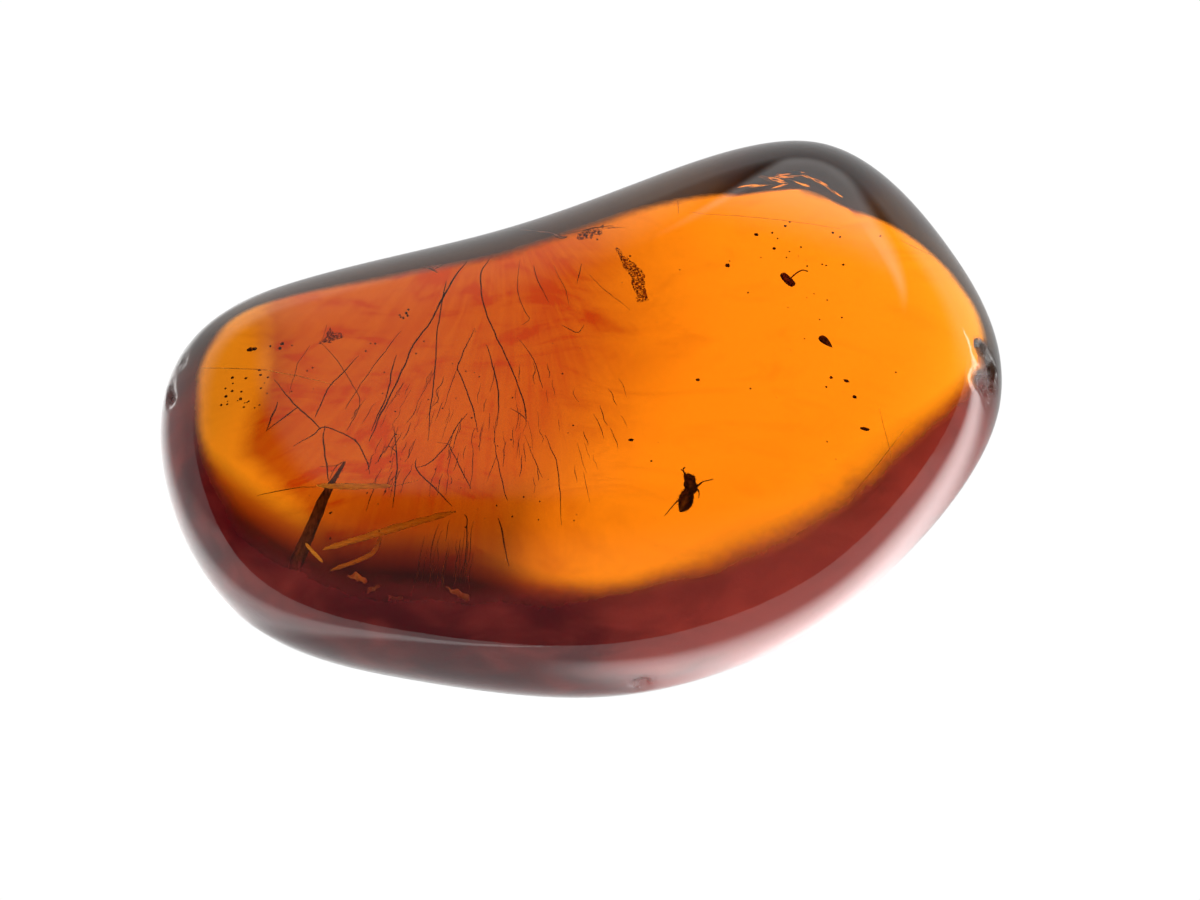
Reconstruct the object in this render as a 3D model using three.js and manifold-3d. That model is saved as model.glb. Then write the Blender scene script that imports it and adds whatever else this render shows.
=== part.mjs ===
// Insect in amber: a polished kidney-shaped amber pebble that lies on its flat underside, with a
// small insect, a curled larva, a husk, a twig, plant splinters, bark flakes and grains sealed in it.
// Millimetres, +Z up. The origin is the middle of the pebble's footprint, on the resting face.
// +X runs along the pebble's length and +Y towards its bayed back edge.

import * as THREE from 'three';
import { ParametricGeometry } from 'three/addons/geometries/ParametricGeometry.js';
import { mergeVertices } from 'three/addons/utils/BufferGeometryUtils.js';
import Module from 'manifold-3d';

const wasm = await Module();
wasm.setup();

// Amber outline from above: control points of two closed smooth curves, counter-clockwise from the
// right end. Each row: x, y of the edge, x, y where the shoulder is level, run of the foot, widest level.
const OUTLINE = [
  [28.27, 0.81, 20.83, 2.47, 5, 4],
  [24.64, 11.73, 17.46, 8.1, 4.5, 3.13],
  [16.63, 23.84, 14.98, 16.42, 3.5, 2.84],
  [2.25, 16.7, 6.58, 7.93, 4, 3.25],
  [-6.24, 12.56, -2.96, 2.52, 4, 3.28],
  [-19.05, 9.73, -14.87, -0.59, 4, 3.47],
  [-28.79, 3.43, -20.94, 2.11, 4, 4.2],
  [-23.47, -16.61, -17.27, -11.67, 6, 5.1],
  [-10.15, -19.99, -8.46, -11.26, 6, 5.5],
  [1.84, -21.52, 1.1, -12.66, 6, 4.25],
  [11.84, -18.15, 7.74, -10.14, 6.5, 5.1],
  [19.2, -12.63, 12.37, -6.71, 6.5, 5.47],
];

// Amber crown: its height, where its top lies, and how fast it falls away, gently and near the rim.
const CROWN_HEIGHT = 13;
const CROWN_X = 1.53;
const CROWN_Y = -4.02;
const CROWN_FALL_X = 0.0019;
const CROWN_FALL_Y = 0.0024;
const CROWN_ROLL = 0.0000016;

// Facets round the outline and up the section, and where each stretch of the section ends.
const AROUND = 84;
const LEVELS = 20;
const BASE_END = 0.1;
const FOOT_END = 0.35;
const SHOULDER_END = 0.8;

// The sealed things lie along one old flow layer of the resin, and the amber is parted there.
const LAYER_HEIGHT = 6;
const POCKET_CLEARANCE = 0.4;
const PARTING_BLOCK = 80;

// Chips broken out of the polished skin: place and radius of the ball that leaves each hollow.
const CHIPS = [
  { x: 28.7, y: 0.25, z: 9.8, radius: 4.6 },
  { x: -29.6, y: -0.05, z: 11.4, radius: 5.8 },
  { x: 3.7, y: -21.5, z: 4.3, radius: 1.5 },
];
const CHIP_DETAIL = 4;

// Insect: half-axes of its rounded segments, in its own frame with the head towards +Y.
const HEAD = { x: 0.06, y: 0.84, z: 0, rx: 0.32, ry: 0.26, rz: 0.26 };
const THORAX = { x: 0.07, y: 0.42, z: 0, rx: 0.37, ry: 0.42, rz: 0.33 };
const WAIST = { x: 0.02, y: 0, z: 0, rx: 0.24, ry: 0.24, rz: 0.2 };
const ABDOMEN_PROFILE = [[0, 0], [0.3, 0.1], [0.43, 0.4], [0.45, 0.7], [0.36, 1.05], [0.17, 1.35], [0, 1.52]];
const ABDOMEN_START = 0.1;
const ABDOMEN_TURN = -0.3;
const INSECT_PLACE = new THREE.Vector3(6.35, -8.85, 6.15);
const INSECT_TILT = -0.27;
const INSECT_TURN = -0.04;
const LEG_RADIUS = 0.06;
const FEELER_RADIUS = 0.04;
const LEGS = [
  [[0.3, 0.5, -0.1], [0.56, 0.5, 0.1], [0.82, 0.7, 0.15], [1.42, 1.12, 0]],
  [[0.28, 0.32, -0.1], [0.48, 0.16, 0.12], [0.54, -0.02, 0.1], [0.5, -0.2, -0.1]],
  [[0.2, 0.6, -0.2], [0.3, 0.75, -0.35], [0.24, 0.98, -0.45]],
  [[-0.12, 0.6, -0.2], [-0.2, 0.72, -0.4], [-0.12, 0.9, -0.5]],
  [[-0.15, 0.42, -0.2], [-0.3, 0.3, -0.42], [-0.24, 0.02, -0.5]],
  [[-0.1, 0.25, -0.15], [-0.5, -0.3, -0.1], [-0.95, -0.8, -0.15], [-1.5, -1.5, -0.25]],
];
const FEELERS = [
  [[-0.14, 0.98, 0.1], [-0.24, 1.16, 0.16], [-0.27, 1.32, 0.16], [-0.16, 1.5, 0.14]],
  [[-0.1, 0.98, 0.02], [-0.22, 1.14, 0.02], [-0.3, 1.32, 0], [-0.42, 1.4, -0.02]],
];

// Larva: rounded rings along its curled back and the thread it trails.
const LARVA_RINGS = [
  [12.4, 7.3, 6.05, 0.2], [12.6, 6.95, 6.1, 0.27], [12.86, 6.61, 6.1, 0.28], [13.13, 6.35, 6, 0.2],
];
const LARVA_THREAD = [[12.8, 6.7, 6.1], [13.1, 7.1, 6.15], [13.6, 7.52, 6.15], [14.03, 7.47, 6.1]];
const THREAD_RADIUS = 0.06;

// Husk: a pointed seed coat, flattened.
const HUSK_PROFILE = [[0, 0], [0.2, 0.1], [0.26, 0.4], [0.16, 0.8], [0, 1.15]];
const HUSK_FLATNESS = 0.55;
const HUSK_PLACE = new THREE.Vector3(14.6, 2.45, 6.05);
const HUSK_TURN = -2.42;

// Twig: its bent centre line and thickness.
const TWIG_LINE = [[-14.2, -7.25, 7], [-15.1, -8.85, 6.4], [-16.2, -11.15, 5.4], [-17.3, -13.45, 4.6]];
const TWIG_RADIUS = 0.32;

// Splinters: centre line and half width of each sliver of wood.
const SPLINTERS = {
  splinter_long: { line: [[-15.2, -12.05, 6.5], [-11.4, -11.05, 6.4], [-7.5, -10.1, 6.2]], radius: 0.17 },
  splinter_upper: { line: [[-15.8, -9.05, 7.8], [-13.6, -9.25, 7.6], [-11.3, -9.25, 7.4]], radius: 0.14 },
  splinter_bent: { line: [[-14.7, -12.55, 5.4], [-12.4, -11.7, 5.4], [-11.8, -10.65, 5.35]], radius: 0.12 },
  splinter_short: { line: [[-16.2, -11.95, 7], [-15.7, -12.6, 7], [-15.2, -13.15, 6.95]], radius: 0.1 },
};
const SPLINTER_SIDES = 5;

// Bark flakes: outline of each thin plate, its thickness, place, and tip about X and turn about Z.
const FLAKE_THICKNESS = 0.25;
const FLAKES = {
  bark_flake_large: {
    outline: [[-0.9, 1.9], [-0.1, 1.2], [0.75, 0.1], [0.95, -1.7], [0.35, -1.9], [0.05, -0.3], [-0.5, 0.8]],
    place: [3.1, 7, 6], tip: 0.2, turn: 0,
  },
  bark_flake_small: {
    outline: [[-0.9, -0.35], [-0.2, -0.3], [0.75, 0.05], [0.95, 0.55], [0.2, 0.35], [-0.5, 0.1]],
    place: [0.9, 9.75, 6], tip: 0.15, turn: 0.1,
  },
  bark_flake_left: {
    outline: [[-0.75, -0.4], [0.1, -0.25], [0.85, 0.1], [0.3, 0.4], [-0.1, 0.6], [-0.25, 0.05]],
    place: [-15.4, 2.45, 6], tip: 0.1, turn: 0,
  },
};

// Grains: x, y and the half-axes of each dark speck on the flow layer.
const GRAINS = [
  [9.05, 7.9, 0.2, 0.17], [16.5, -3.5, 0.32, 0.13], [10.85, 10.4, 0.16, 0.15],
  [11.95, 9.3, 0.14, 0.13], [15.95, -0.7, 0.18, 0.12], [16.2, -1.6, 0.15, 0.12],
  [3, -5.45, 0.24, 0.12], [7.1, -0.95, 0.15, 0.13], [15.2, -0.65, 0.14, 0.12],
];
const GRAIN_DETAIL = 1;

// A geometry as a solid: only positions are kept, shared corners are merged and flat slivers dropped.
function solid(geometry) {
  const plain = geometry.clone();
  plain.deleteAttribute('normal');
  plain.deleteAttribute('uv');
  const welded = mergeVertices(plain);
  const corners = welded.index.array;
  const triangles = [];
  for (let i = 0; i < corners.length; i += 3) {
    const [a, b, c] = corners.slice(i, i + 3);
    if (a !== b && b !== c && c !== a) triangles.push(a, b, c);
  }
  return new wasm.Manifold(new wasm.Mesh({
    numProp: 3,
    vertProperties: new Float32Array(welded.attributes.position.array),
    triVerts: new Uint32Array(triangles),
  }));
}

// A solid back as a geometry with flat facets.
function facets(body) {
  const { vertProperties, triVerts } = body.getMesh();
  const geometry = new THREE.BufferGeometry();
  geometry.setAttribute('position', new THREE.BufferAttribute(vertProperties, 3));
  geometry.setIndex(new THREE.BufferAttribute(triVerts, 1));
  geometry.computeVertexNormals();
  return geometry;
}

function join(geometries) {
  return geometries.map(solid).reduce((whole, next) => whole.add(next));
}

function points(rows) {
  return rows.map((row) => new THREE.Vector3(...row));
}

// A round or few-sided rod along a smooth line.
function rod(line, radius, sides, steps) {
  const section = new THREE.Shape();
  for (let i = 0; i < sides; i += 1) {
    const angle = (2 * Math.PI * i) / sides;
    const corner = [radius * Math.cos(angle), radius * Math.sin(angle)];
    if (i === 0) section.moveTo(...corner);
    else section.lineTo(...corner);
  }
  const extrudePath = new THREE.CatmullRomCurve3(points(line));
  return new THREE.ExtrudeGeometry(section, { steps, extrudePath, bevelEnabled: false });
}

function egg({ x, y, z, rx, ry, rz }, around, up) {
  return new THREE.SphereGeometry(1, around, up).scale(rx, ry, rz).translate(x, y, z);
}

function turned(profile, around) {
  return new THREE.LatheGeometry(profile.map((row) => new THREE.Vector2(...row)), around);
}

// The outline row at u, 0 to 1 round the pebble: blended from the four nearest control points.
function outlineRow(u) {
  const count = OUTLINE.length;
  const along = (u % 1) * count;
  const first = Math.floor(along);
  const t = along - first;
  const weights = [
    (1 - t) ** 3,
    3 * t ** 3 - 6 * t ** 2 + 4,
    -3 * t ** 3 + 3 * t ** 2 + 3 * t + 1,
    t ** 3,
  ];
  return OUTLINE[0].map((_, column) => weights.reduce(
    (sum, weight, k) => sum + (weight * OUTLINE[(first + k - 1 + count) % count][column]) / 6,
    0,
  ));
}

function crown(x, y) {
  const east = (x - CROWN_X) ** 2;
  const north = (y - CROWN_Y) ** 2;
  return CROWN_HEIGHT - CROWN_FALL_X * east - CROWN_FALL_Y * north - CROWN_ROLL * (east + north) ** 2;
}

// A point of the amber skin: u runs round the outline and v up the section, from the middle of the
// resting face over foot, widest level and shoulder to the middle of the crown.
function amberSkin(u, v, target) {
  const [x, y, levelX, levelY, footRun, widest] = outlineRow(u);
  const step = 1 / (4 * AROUND);
  const [xNext, yNext] = outlineRow(u + step);
  const [xBack, yBack] = outlineRow(u + 1 - step);
  const inward = new THREE.Vector2(yBack - yNext, xNext - xBack).normalize();
  const edge = new THREE.Vector2(x, y);
  const level = new THREE.Vector2(levelX, levelY);
  if (v <= BASE_END) {
    edge.addScaledVector(inward, footRun).multiplyScalar(v / BASE_END);
    target.set(edge.x, edge.y, 0);
  } else if (v <= FOOT_END) {
    const turn = ((v - BASE_END) / (FOOT_END - BASE_END)) * (Math.PI / 2);
    edge.addScaledVector(inward, footRun * (1 - Math.sin(turn)));
    target.set(edge.x, edge.y, widest * (1 - Math.cos(turn)));
  } else if (v <= SHOULDER_END) {
    const turn = ((v - FOOT_END) / (SHOULDER_END - FOOT_END)) * (Math.PI / 2);
    edge.lerp(level, 1 - Math.cos(turn));
    target.set(edge.x, edge.y, widest + (crown(edge.x, edge.y) - widest) * Math.sin(turn));
  } else {
    level.multiplyScalar((1 - v) / (1 - SHOULDER_END));
    target.set(level.x, level.y, crown(level.x, level.y));
  }
}

function insectGeometry() {
  const abdomen = turned(ABDOMEN_PROFILE, 12).rotateZ(Math.PI).translate(0, ABDOMEN_START, 0);
  abdomen.rotateZ(ABDOMEN_TURN);
  return facets(join([
    egg(HEAD, 12, 8),
    egg(THORAX, 12, 8),
    egg(WAIST, 10, 6),
    abdomen,
    ...LEGS.map((line) => rod(line, LEG_RADIUS, 5, 6)),
    ...FEELERS.map((line) => rod(line, FEELER_RADIUS, 5, 6)),
  ]));
}

function larvaGeometry() {
  const rings = LARVA_RINGS.map(([x, y, z, r]) => egg({ x, y, z, rx: r, ry: r, rz: r }, 8, 6));
  return facets(join([...rings, rod(LARVA_THREAD, THREAD_RADIUS, 5, 8)]));
}

function flakeGeometry(outline) {
  const shape = new THREE.Shape(outline.map((row) => new THREE.Vector2(...row)));
  const plate = new THREE.ExtrudeGeometry(shape, { depth: FLAKE_THICKNESS, bevelEnabled: false });
  return plate.translate(0, 0, -FLAKE_THICKNESS / 2);
}

const group = new THREE.Group();

function addPiece(name, geometry, look) {
  const mesh = new THREE.Mesh(geometry, new THREE.MeshStandardMaterial({ metalness: 0, ...look }));
  mesh.name = name;
  group.add(mesh);
  return mesh;
}

const CHITIN = { color: 0x3a2414, roughness: 0.5 };
const DARK_WOOD = { color: 0x3b2a20, roughness: 0.8 };
const PALE_WOOD = { color: 0xe88a2c, roughness: 0.6 };
const DARK_GRAIN = { color: 0x2a1a12, roughness: 0.8 };
const AMBER = { color: 0xf07c0c, roughness: 0.05 };

const sealed = [];

const insect = addPiece('insect', insectGeometry(), CHITIN);
insect.position.copy(INSECT_PLACE);
insect.rotation.set(INSECT_TILT, 0, INSECT_TURN);
sealed.push(insect);

sealed.push(addPiece('larva', larvaGeometry(), { ...CHITIN, color: 0x5a2410 }));

const husk = addPiece('husk', turned(HUSK_PROFILE, 8).scale(1, 1, HUSK_FLATNESS), CHITIN);
husk.position.copy(HUSK_PLACE);
husk.rotation.z = HUSK_TURN;
sealed.push(husk);

sealed.push(addPiece('twig', rod(TWIG_LINE, TWIG_RADIUS, 8, 10), DARK_WOOD));

for (const [name, { line, radius }] of Object.entries(SPLINTERS)) {
  sealed.push(addPiece(name, rod(line, radius, SPLINTER_SIDES, 8), PALE_WOOD));
}

for (const [name, { outline, place, tip, turn }] of Object.entries(FLAKES)) {
  const flake = addPiece(name, flakeGeometry(outline), DARK_WOOD);
  flake.position.set(...place);
  flake.rotation.set(tip, 0, turn);
  sealed.push(flake);
}

GRAINS.forEach(([x, y, rx, ry], i) => {
  const speck = new THREE.IcosahedronGeometry(1, GRAIN_DETAIL).scale(rx, ry, ry);
  const grain = addPiece(`grain_${i + 1}`, speck, DARK_GRAIN);
  grain.position.set(x, y, LAYER_HEIGHT);
  sealed.push(grain);
});

// The hollow round a sealed piece: its own box with clearance all round, reaching the flow layer.
function pocket(mesh) {
  mesh.geometry.computeBoundingBox();
  const box = mesh.geometry.boundingBox.clone().expandByScalar(POCKET_CLEARANCE);
  const layer = LAYER_HEIGHT - mesh.position.z;
  box.expandByPoint(new THREE.Vector3(box.min.x, box.min.y, layer - POCKET_CLEARANCE));
  box.expandByPoint(new THREE.Vector3(box.max.x, box.max.y, layer + POCKET_CLEARANCE));
  const size = box.getSize(new THREE.Vector3());
  const centre = box.getCenter(new THREE.Vector3());
  mesh.updateMatrix();
  return new THREE.BoxGeometry(size.x, size.y, size.z)
    .translate(centre.x, centre.y, centre.z)
    .applyMatrix4(mesh.matrix);
}

let amber = solid(new ParametricGeometry(amberSkin, AROUND, LEVELS));
for (const { x, y, z, radius } of CHIPS) {
  amber = amber.subtract(solid(new THREE.IcosahedronGeometry(radius, CHIP_DETAIL).translate(x, y, z)));
}
const pockets = join(sealed.map(pocket));

function amberPart(lowest) {
  const block = new THREE.BoxGeometry(PARTING_BLOCK, PARTING_BLOCK, PARTING_BLOCK);
  block.translate(0, 0, lowest + PARTING_BLOCK / 2);
  return facets(amber.intersect(solid(block)).subtract(pockets));
}

addPiece('amber_lower', amberPart(LAYER_HEIGHT - PARTING_BLOCK), AMBER);
addPiece('amber_upper', amberPart(LAYER_HEIGHT), AMBER);

export default group;
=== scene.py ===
# %% [markdown]
# # Insect in amber
# A kidney-shaped pebble of polished amber lies on its flat face on a lit white table. A small dark insect
# is sealed in its right half, and plant splinters, flakes and a fan of fine cracks fill its left half.
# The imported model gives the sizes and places. Everything made here lies in the same frame, in metres.

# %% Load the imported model
import math
import bmesh
import bpy
import numpy as np
from mathutils import Matrix, Vector, noise


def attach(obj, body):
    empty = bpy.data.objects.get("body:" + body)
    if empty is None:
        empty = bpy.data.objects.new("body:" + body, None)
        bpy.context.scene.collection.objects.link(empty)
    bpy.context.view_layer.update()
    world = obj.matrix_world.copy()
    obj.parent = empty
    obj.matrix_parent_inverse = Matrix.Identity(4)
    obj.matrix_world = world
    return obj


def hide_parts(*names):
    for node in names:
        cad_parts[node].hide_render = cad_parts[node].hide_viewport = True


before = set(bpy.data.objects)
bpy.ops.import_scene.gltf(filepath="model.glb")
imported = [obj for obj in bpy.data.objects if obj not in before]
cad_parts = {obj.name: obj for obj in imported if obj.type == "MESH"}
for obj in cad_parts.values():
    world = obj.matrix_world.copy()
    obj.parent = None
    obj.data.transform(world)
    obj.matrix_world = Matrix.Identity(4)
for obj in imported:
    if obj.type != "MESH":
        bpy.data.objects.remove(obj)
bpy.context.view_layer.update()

MM = 0.001
print("packed nodes:", len(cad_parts))

# %% [markdown]
# ## Camera
# The photograph looks down at the pebble at about 54 degrees with a long lens, so nothing is foreshortened
# much. The camera comes first, so that every later step can be looked at as soon as it is made.

# %% Camera
VIEW_ELEVATION = math.radians(54)
VIEW_DISTANCE = 300 * MM
VIEW_TARGET = Vector((1.12, -4.11, 6.0)) * MM
SENSOR_WIDTH = 36
FOCAL_LENGTH = 145.4

toward_camera = Vector((0, -math.cos(VIEW_ELEVATION), math.sin(VIEW_ELEVATION)))
camera_data = bpy.data.cameras.new("camera")
camera_data.sensor_width = SENSOR_WIDTH
camera_data.lens = FOCAL_LENGTH
camera_data.clip_start = 0.01
camera = bpy.data.objects.new("camera", camera_data)
camera.location = VIEW_TARGET + toward_camera * VIEW_DISTANCE
camera.rotation_euler = (-toward_camera).to_track_quat("-Z", "Y").to_euler()
bpy.context.scene.collection.objects.link(camera)
bpy.context.scene.camera = camera
print("camera at", [round(value, 3) for value in camera.location])

# %% [markdown]
# ## A bench for node trees
# Every finish is a tree of nodes. Wired by hand, such a tree soon fills pages, so one class wraps a socket
# and lets it be added, multiplied and compared like a number, and a second one adds any other node.
# The same bench serves finishes, the sky and Geometry Nodes.

# %% Wire and Bench
class Wire:
    """An output socket that joins in arithmetic; each operation adds one Math node."""

    def __init__(self, bench, socket):
        self.bench = bench
        self.socket = socket

    def math(self, operation, *values):
        return self.bench.node("ShaderNodeMath", {"operation": operation}, dict(enumerate(values)))

    def __add__(self, other):
        return self.math("ADD", self, other)

    def __radd__(self, other):
        return self.math("ADD", other, self)

    def __sub__(self, other):
        return self.math("SUBTRACT", self, other)

    def __rsub__(self, other):
        return self.math("SUBTRACT", other, self)

    def __mul__(self, other):
        return self.math("MULTIPLY", self, other)

    def __rmul__(self, other):
        return self.math("MULTIPLY", other, self)

    def most(self, other):
        return self.math("MAXIMUM", self, other)

    def between(self, low, high, start=0.0, end=1.0):
        """A soft step from start, where the value is low, to end, where it is high."""
        sockets = {0: self, 1: low, 2: high, 3: start, 4: end}
        return self.bench.node("ShaderNodeMapRange", {"interpolation_type": "SMOOTHSTEP"}, sockets)


class Bench:
    """A node tree under construction."""

    def __init__(self, tree):
        self.tree = tree

    def node(self, kind, settings=None, sockets=None, output=0):
        """Add a node: its settings first, then socket values or links; one output comes back."""
        made = self.tree.nodes.new(kind)
        for key, value in (settings or {}).items():
            setattr(made, key, value)
        for key, value in (sockets or {}).items():
            if isinstance(value, Wire):
                self.tree.links.new(value.socket, made.inputs[key])
            else:
                made.inputs[key].default_value = value
        return Wire(self, made.outputs[output]) if made.outputs else made

    def place(self, squeeze=(1, 1, 1)):
        """Object coordinates in millimetres, squeezed along each axis."""
        coords = self.node("ShaderNodeTexCoord", output=3)
        scale = [factor / MM for factor in squeeze]
        return self.node("ShaderNodeMapping", {}, {0: coords, 3: scale})

    def axes(self, vector):
        parts = self.tree.nodes.new("ShaderNodeSeparateXYZ")
        self.tree.links.new(vector.socket, parts.inputs[0])
        return [Wire(self, output) for output in parts.outputs]

    def cloud(self, vector, scale, detail=3.0, roughness=0.55, distortion=0.0):
        sockets = {"Vector": vector, "Scale": scale, "Detail": detail, "Roughness": roughness}
        return self.node("ShaderNodeTexNoise", {}, {**sockets, "Distortion": distortion})

    def blend(self, share, first, second):
        """A colour between two colours."""
        sockets = {0: share, 6: first, 7: second}
        return self.node("ShaderNodeMix", {"data_type": "RGBA"}, sockets, output=2)


def rgb(red, green, blue):
    return (red, green, blue, 1.0)


class Finish(Bench):
    """A material with one Principled surface."""

    def __init__(self, name):
        self.material = bpy.data.materials.new(name)
        self.material.use_nodes = True
        super().__init__(self.material.node_tree)
        self.surface = self.tree.nodes["Principled BSDF"]

    def set(self, **sockets):
        for name, value in sockets.items():
            socket = self.surface.inputs[name.replace("_", " ")]
            if isinstance(value, Wire):
                self.tree.links.new(value.socket, socket)
            else:
                socket.default_value = value
        return self

    def raise_by(self, height, strength, distance):
        """Bump the surface by a height pattern; distance is the relief in millimetres."""
        sockets = {"Height": height, "Strength": strength, "Distance": distance * MM}
        return self.set(Normal=self.node("ShaderNodeBump", {}, sockets))


print("bench ready")

# %% [markdown]
# ## The amber skin
# The real pebble was tumbled and polished: a flat face below, a broad round shoulder, a nearly flat crown.
# A sculpted mesh would look right from one side only. Instead the skin follows one rule: a closed smooth
# outline through twelve control points, a second one where the shoulder becomes level, and at each point how
# far the foot runs in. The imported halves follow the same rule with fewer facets.

# %% Outline of the amber
# Each row: x, y of the edge, x, y where the shoulder is level, run of the foot, widest level, in mm.
OUTLINE = np.array([
    [28.27, 0.81, 20.83, 2.47, 5, 4],
    [24.64, 11.73, 17.46, 8.1, 4.5, 3.13],
    [16.63, 23.84, 14.98, 16.42, 3.5, 2.84],
    [2.25, 16.7, 6.58, 7.93, 4, 3.25],
    [-6.24, 12.56, -2.96, 2.52, 4, 3.28],
    [-19.05, 9.73, -14.87, -0.59, 4, 3.47],
    [-28.79, 3.43, -20.94, 2.11, 4, 4.2],
    [-23.47, -16.61, -17.27, -11.67, 6, 5.1],
    [-10.15, -19.99, -8.46, -11.26, 6, 5.5],
    [1.84, -21.52, 1.1, -12.66, 6, 4.25],
    [11.84, -18.15, 7.74, -10.14, 6.5, 5.1],
    [19.2, -12.63, 12.37, -6.71, 6.5, 5.47],
])


def round_curve(rows, count):
    """Values along the closed smooth curve that the control rows steer."""
    rows = np.asarray(rows, float)
    along = np.arange(count) / count * len(rows)
    first = np.floor(along).astype(int)
    t = (along - first)[:, None]
    weights = [(1 - t) ** 3, 3 * t**3 - 6 * t**2 + 4, -3 * t**3 + 3 * t**2 + 3 * t + 1, t**3]
    return sum(w * rows[(first + k - 1) % len(rows)] for k, w in enumerate(weights)) / 6


def inward(edge):
    along = np.roll(edge, -1, 0) - np.roll(edge, 1, 0)
    along /= np.linalg.norm(along, axis=1)[:, None]
    return np.stack([-along[:, 1], along[:, 0]], 1)


outline_span = np.ptp(round_curve(OUTLINE, 720)[:, :2], axis=0)
print("outline spans", outline_span.round(2), "mm")

# %% Skin of the amber
AROUND = 448
FOOT_ROWS = 28
SHOULDER_ROWS = 40
CROWN_ROWS = 20
BASE_ROWS = 4
CROWN_HEIGHT = 13
CROWN_PLACE = np.array([1.53, -4.02])
CROWN_CENTRE = np.array([-5.0, -6.0])
CROWN_FALL = np.array([0.0019, 0.0024])
CROWN_ROLL = 0.0000016


def crown(flat):
    """Height of the nearly flat crown, which rolls off towards the rim."""
    away = (flat - CROWN_PLACE) ** 2
    return CROWN_HEIGHT - (away * CROWN_FALL).sum(1) - CROWN_ROLL * away.sum(1) ** 2


def amber_rows():
    """Rings of the skin from the resting face over foot and shoulder to the crown."""
    control = round_curve(OUTLINE, AROUND)
    edge, level, foot, widest = control[:, :2], control[:, 2:4], control[:, 4:5], control[:, 5]
    into = inward(edge)
    rows = []
    for k in range(1, BASE_ROWS):
        rows.append(np.c_[(edge + into * foot) * k / BASE_ROWS, np.zeros(AROUND)])
    for turn in np.linspace(0, math.pi / 2, FOOT_ROWS + 1):
        flat = edge + into * foot * (1 - math.sin(turn))
        rows.append(np.c_[flat, widest * (1 - math.cos(turn))])
    for turn in np.linspace(0, math.pi / 2, SHOULDER_ROWS + 1)[1:]:
        flat = edge + (level - edge) * (1 - math.cos(turn))
        rows.append(np.c_[flat, widest + (crown(flat) - widest) * math.sin(turn)])
    for k in range(CROWN_ROWS - 1, 0, -1):
        flat = CROWN_CENTRE + (level - CROWN_CENTRE) * k / CROWN_ROWS
        rows.append(np.c_[flat, crown(flat)])
    return np.array(rows)


def strips(rows, around):
    """Faces between rings of equal counts."""
    i = np.arange(around)
    j = (i + 1) % around
    faces = []
    for row in range(rows - 1):
        low, high = row * around, (row + 1) * around
        faces += np.c_[low + i, low + j, high + j, high + i].tolist()
    return faces


def loft(rings):
    """Points and faces of a closed skin through rings of equal counts, with a fan at each end."""
    rings = np.asarray(rings, float)
    rows, around = rings.shape[:2]
    points = np.r_[rings.reshape(-1, 3), [rings[0].mean(0)], [rings[-1].mean(0)]]
    start, end = rows * around, rows * around + 1
    i = np.arange(around)
    j = (i + 1) % around
    faces = strips(rows, around)
    faces += np.c_[np.full(around, start), j, i].tolist()
    faces += np.c_[np.full(around, end), (rows - 1) * around + i, (rows - 1) * around + j].tolist()
    return points, faces


amber_points, amber_faces = loft(amber_rows())
print("amber skin:", len(amber_points), "points,", len(amber_faces), "faces")

# %% [markdown]
# ## Chips in the skin
# Two chips at the ends and a nick in the front edge were never polished out. Each is a hollow that a ball
# would leave. The skin inside the ball is pushed onto the ball, whose rim is ragged, with the ripples and
# steps of broken resin, and a mark is kept for the finish, which is rough there.

# %% Chips
# Each row: x, y, z and radius of the ball, in millimetres.
CHIPS = [(28.7, 0.25, 9.8, 4.6), (-29.6, -0.05, 11.4, 5.8), (3.7, -21.5, 4.3, 1.5)]
CHIP_STEP = 0.22
CHIP_RIPPLE = 0.05
CHIP_RIPPLE_PITCH = 0.7
CHIP_RIM = 0.3
CHIP_RAGGED = 0.12
CHIP_RAGGED_SCALE = 0.8
CHIP_COARSE, CHIP_FINE = 0.9, 2.7


def break_chips(points):
    """Push points that a chip's ball holds onto the ball; gives each point's share of broken skin."""
    broken = np.zeros(len(points))
    for x, y, z, radius in CHIPS:
        centre = np.array([x, y, z])
        away = points - centre
        far = np.linalg.norm(away, axis=1)
        for index in np.flatnonzero(far < radius * (1 + CHIP_RAGGED)):
            spot = Vector(points[index])
            ragged = radius * (1 + CHIP_RAGGED * noise.noise(spot * CHIP_RAGGED_SCALE))
            if far[index] > ragged:
                continue
            step = noise.noise(spot * CHIP_COARSE) * CHIP_STEP
            step = step + noise.noise(spot * CHIP_FINE) * CHIP_STEP / 3
            ripple = CHIP_RIPPLE * math.sin(2 * math.pi * far[index] / CHIP_RIPPLE_PITCH)
            depth = ragged - far[index]
            rim = min(depth / CHIP_RIM, 1)
            points[index] += away[index] / far[index] * (depth + (step + ripple - CHIP_STEP / 2) * rim)
            broken[index] = rim
    return broken


broken_skin = break_chips(amber_points)
print("points in chips:", int((broken_skin > 0).sum()))

# %% [markdown]
# ## Old cracks inside the amber
# Near the back edge the resin split in thin leaves, and the air in them mirrors the bright table. Painting
# such flashes would fix them to one view. A real gap does it by itself: a lens-thin hollow whose skin faces
# the air inside it, as the outer skin faces the air outside.

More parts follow.
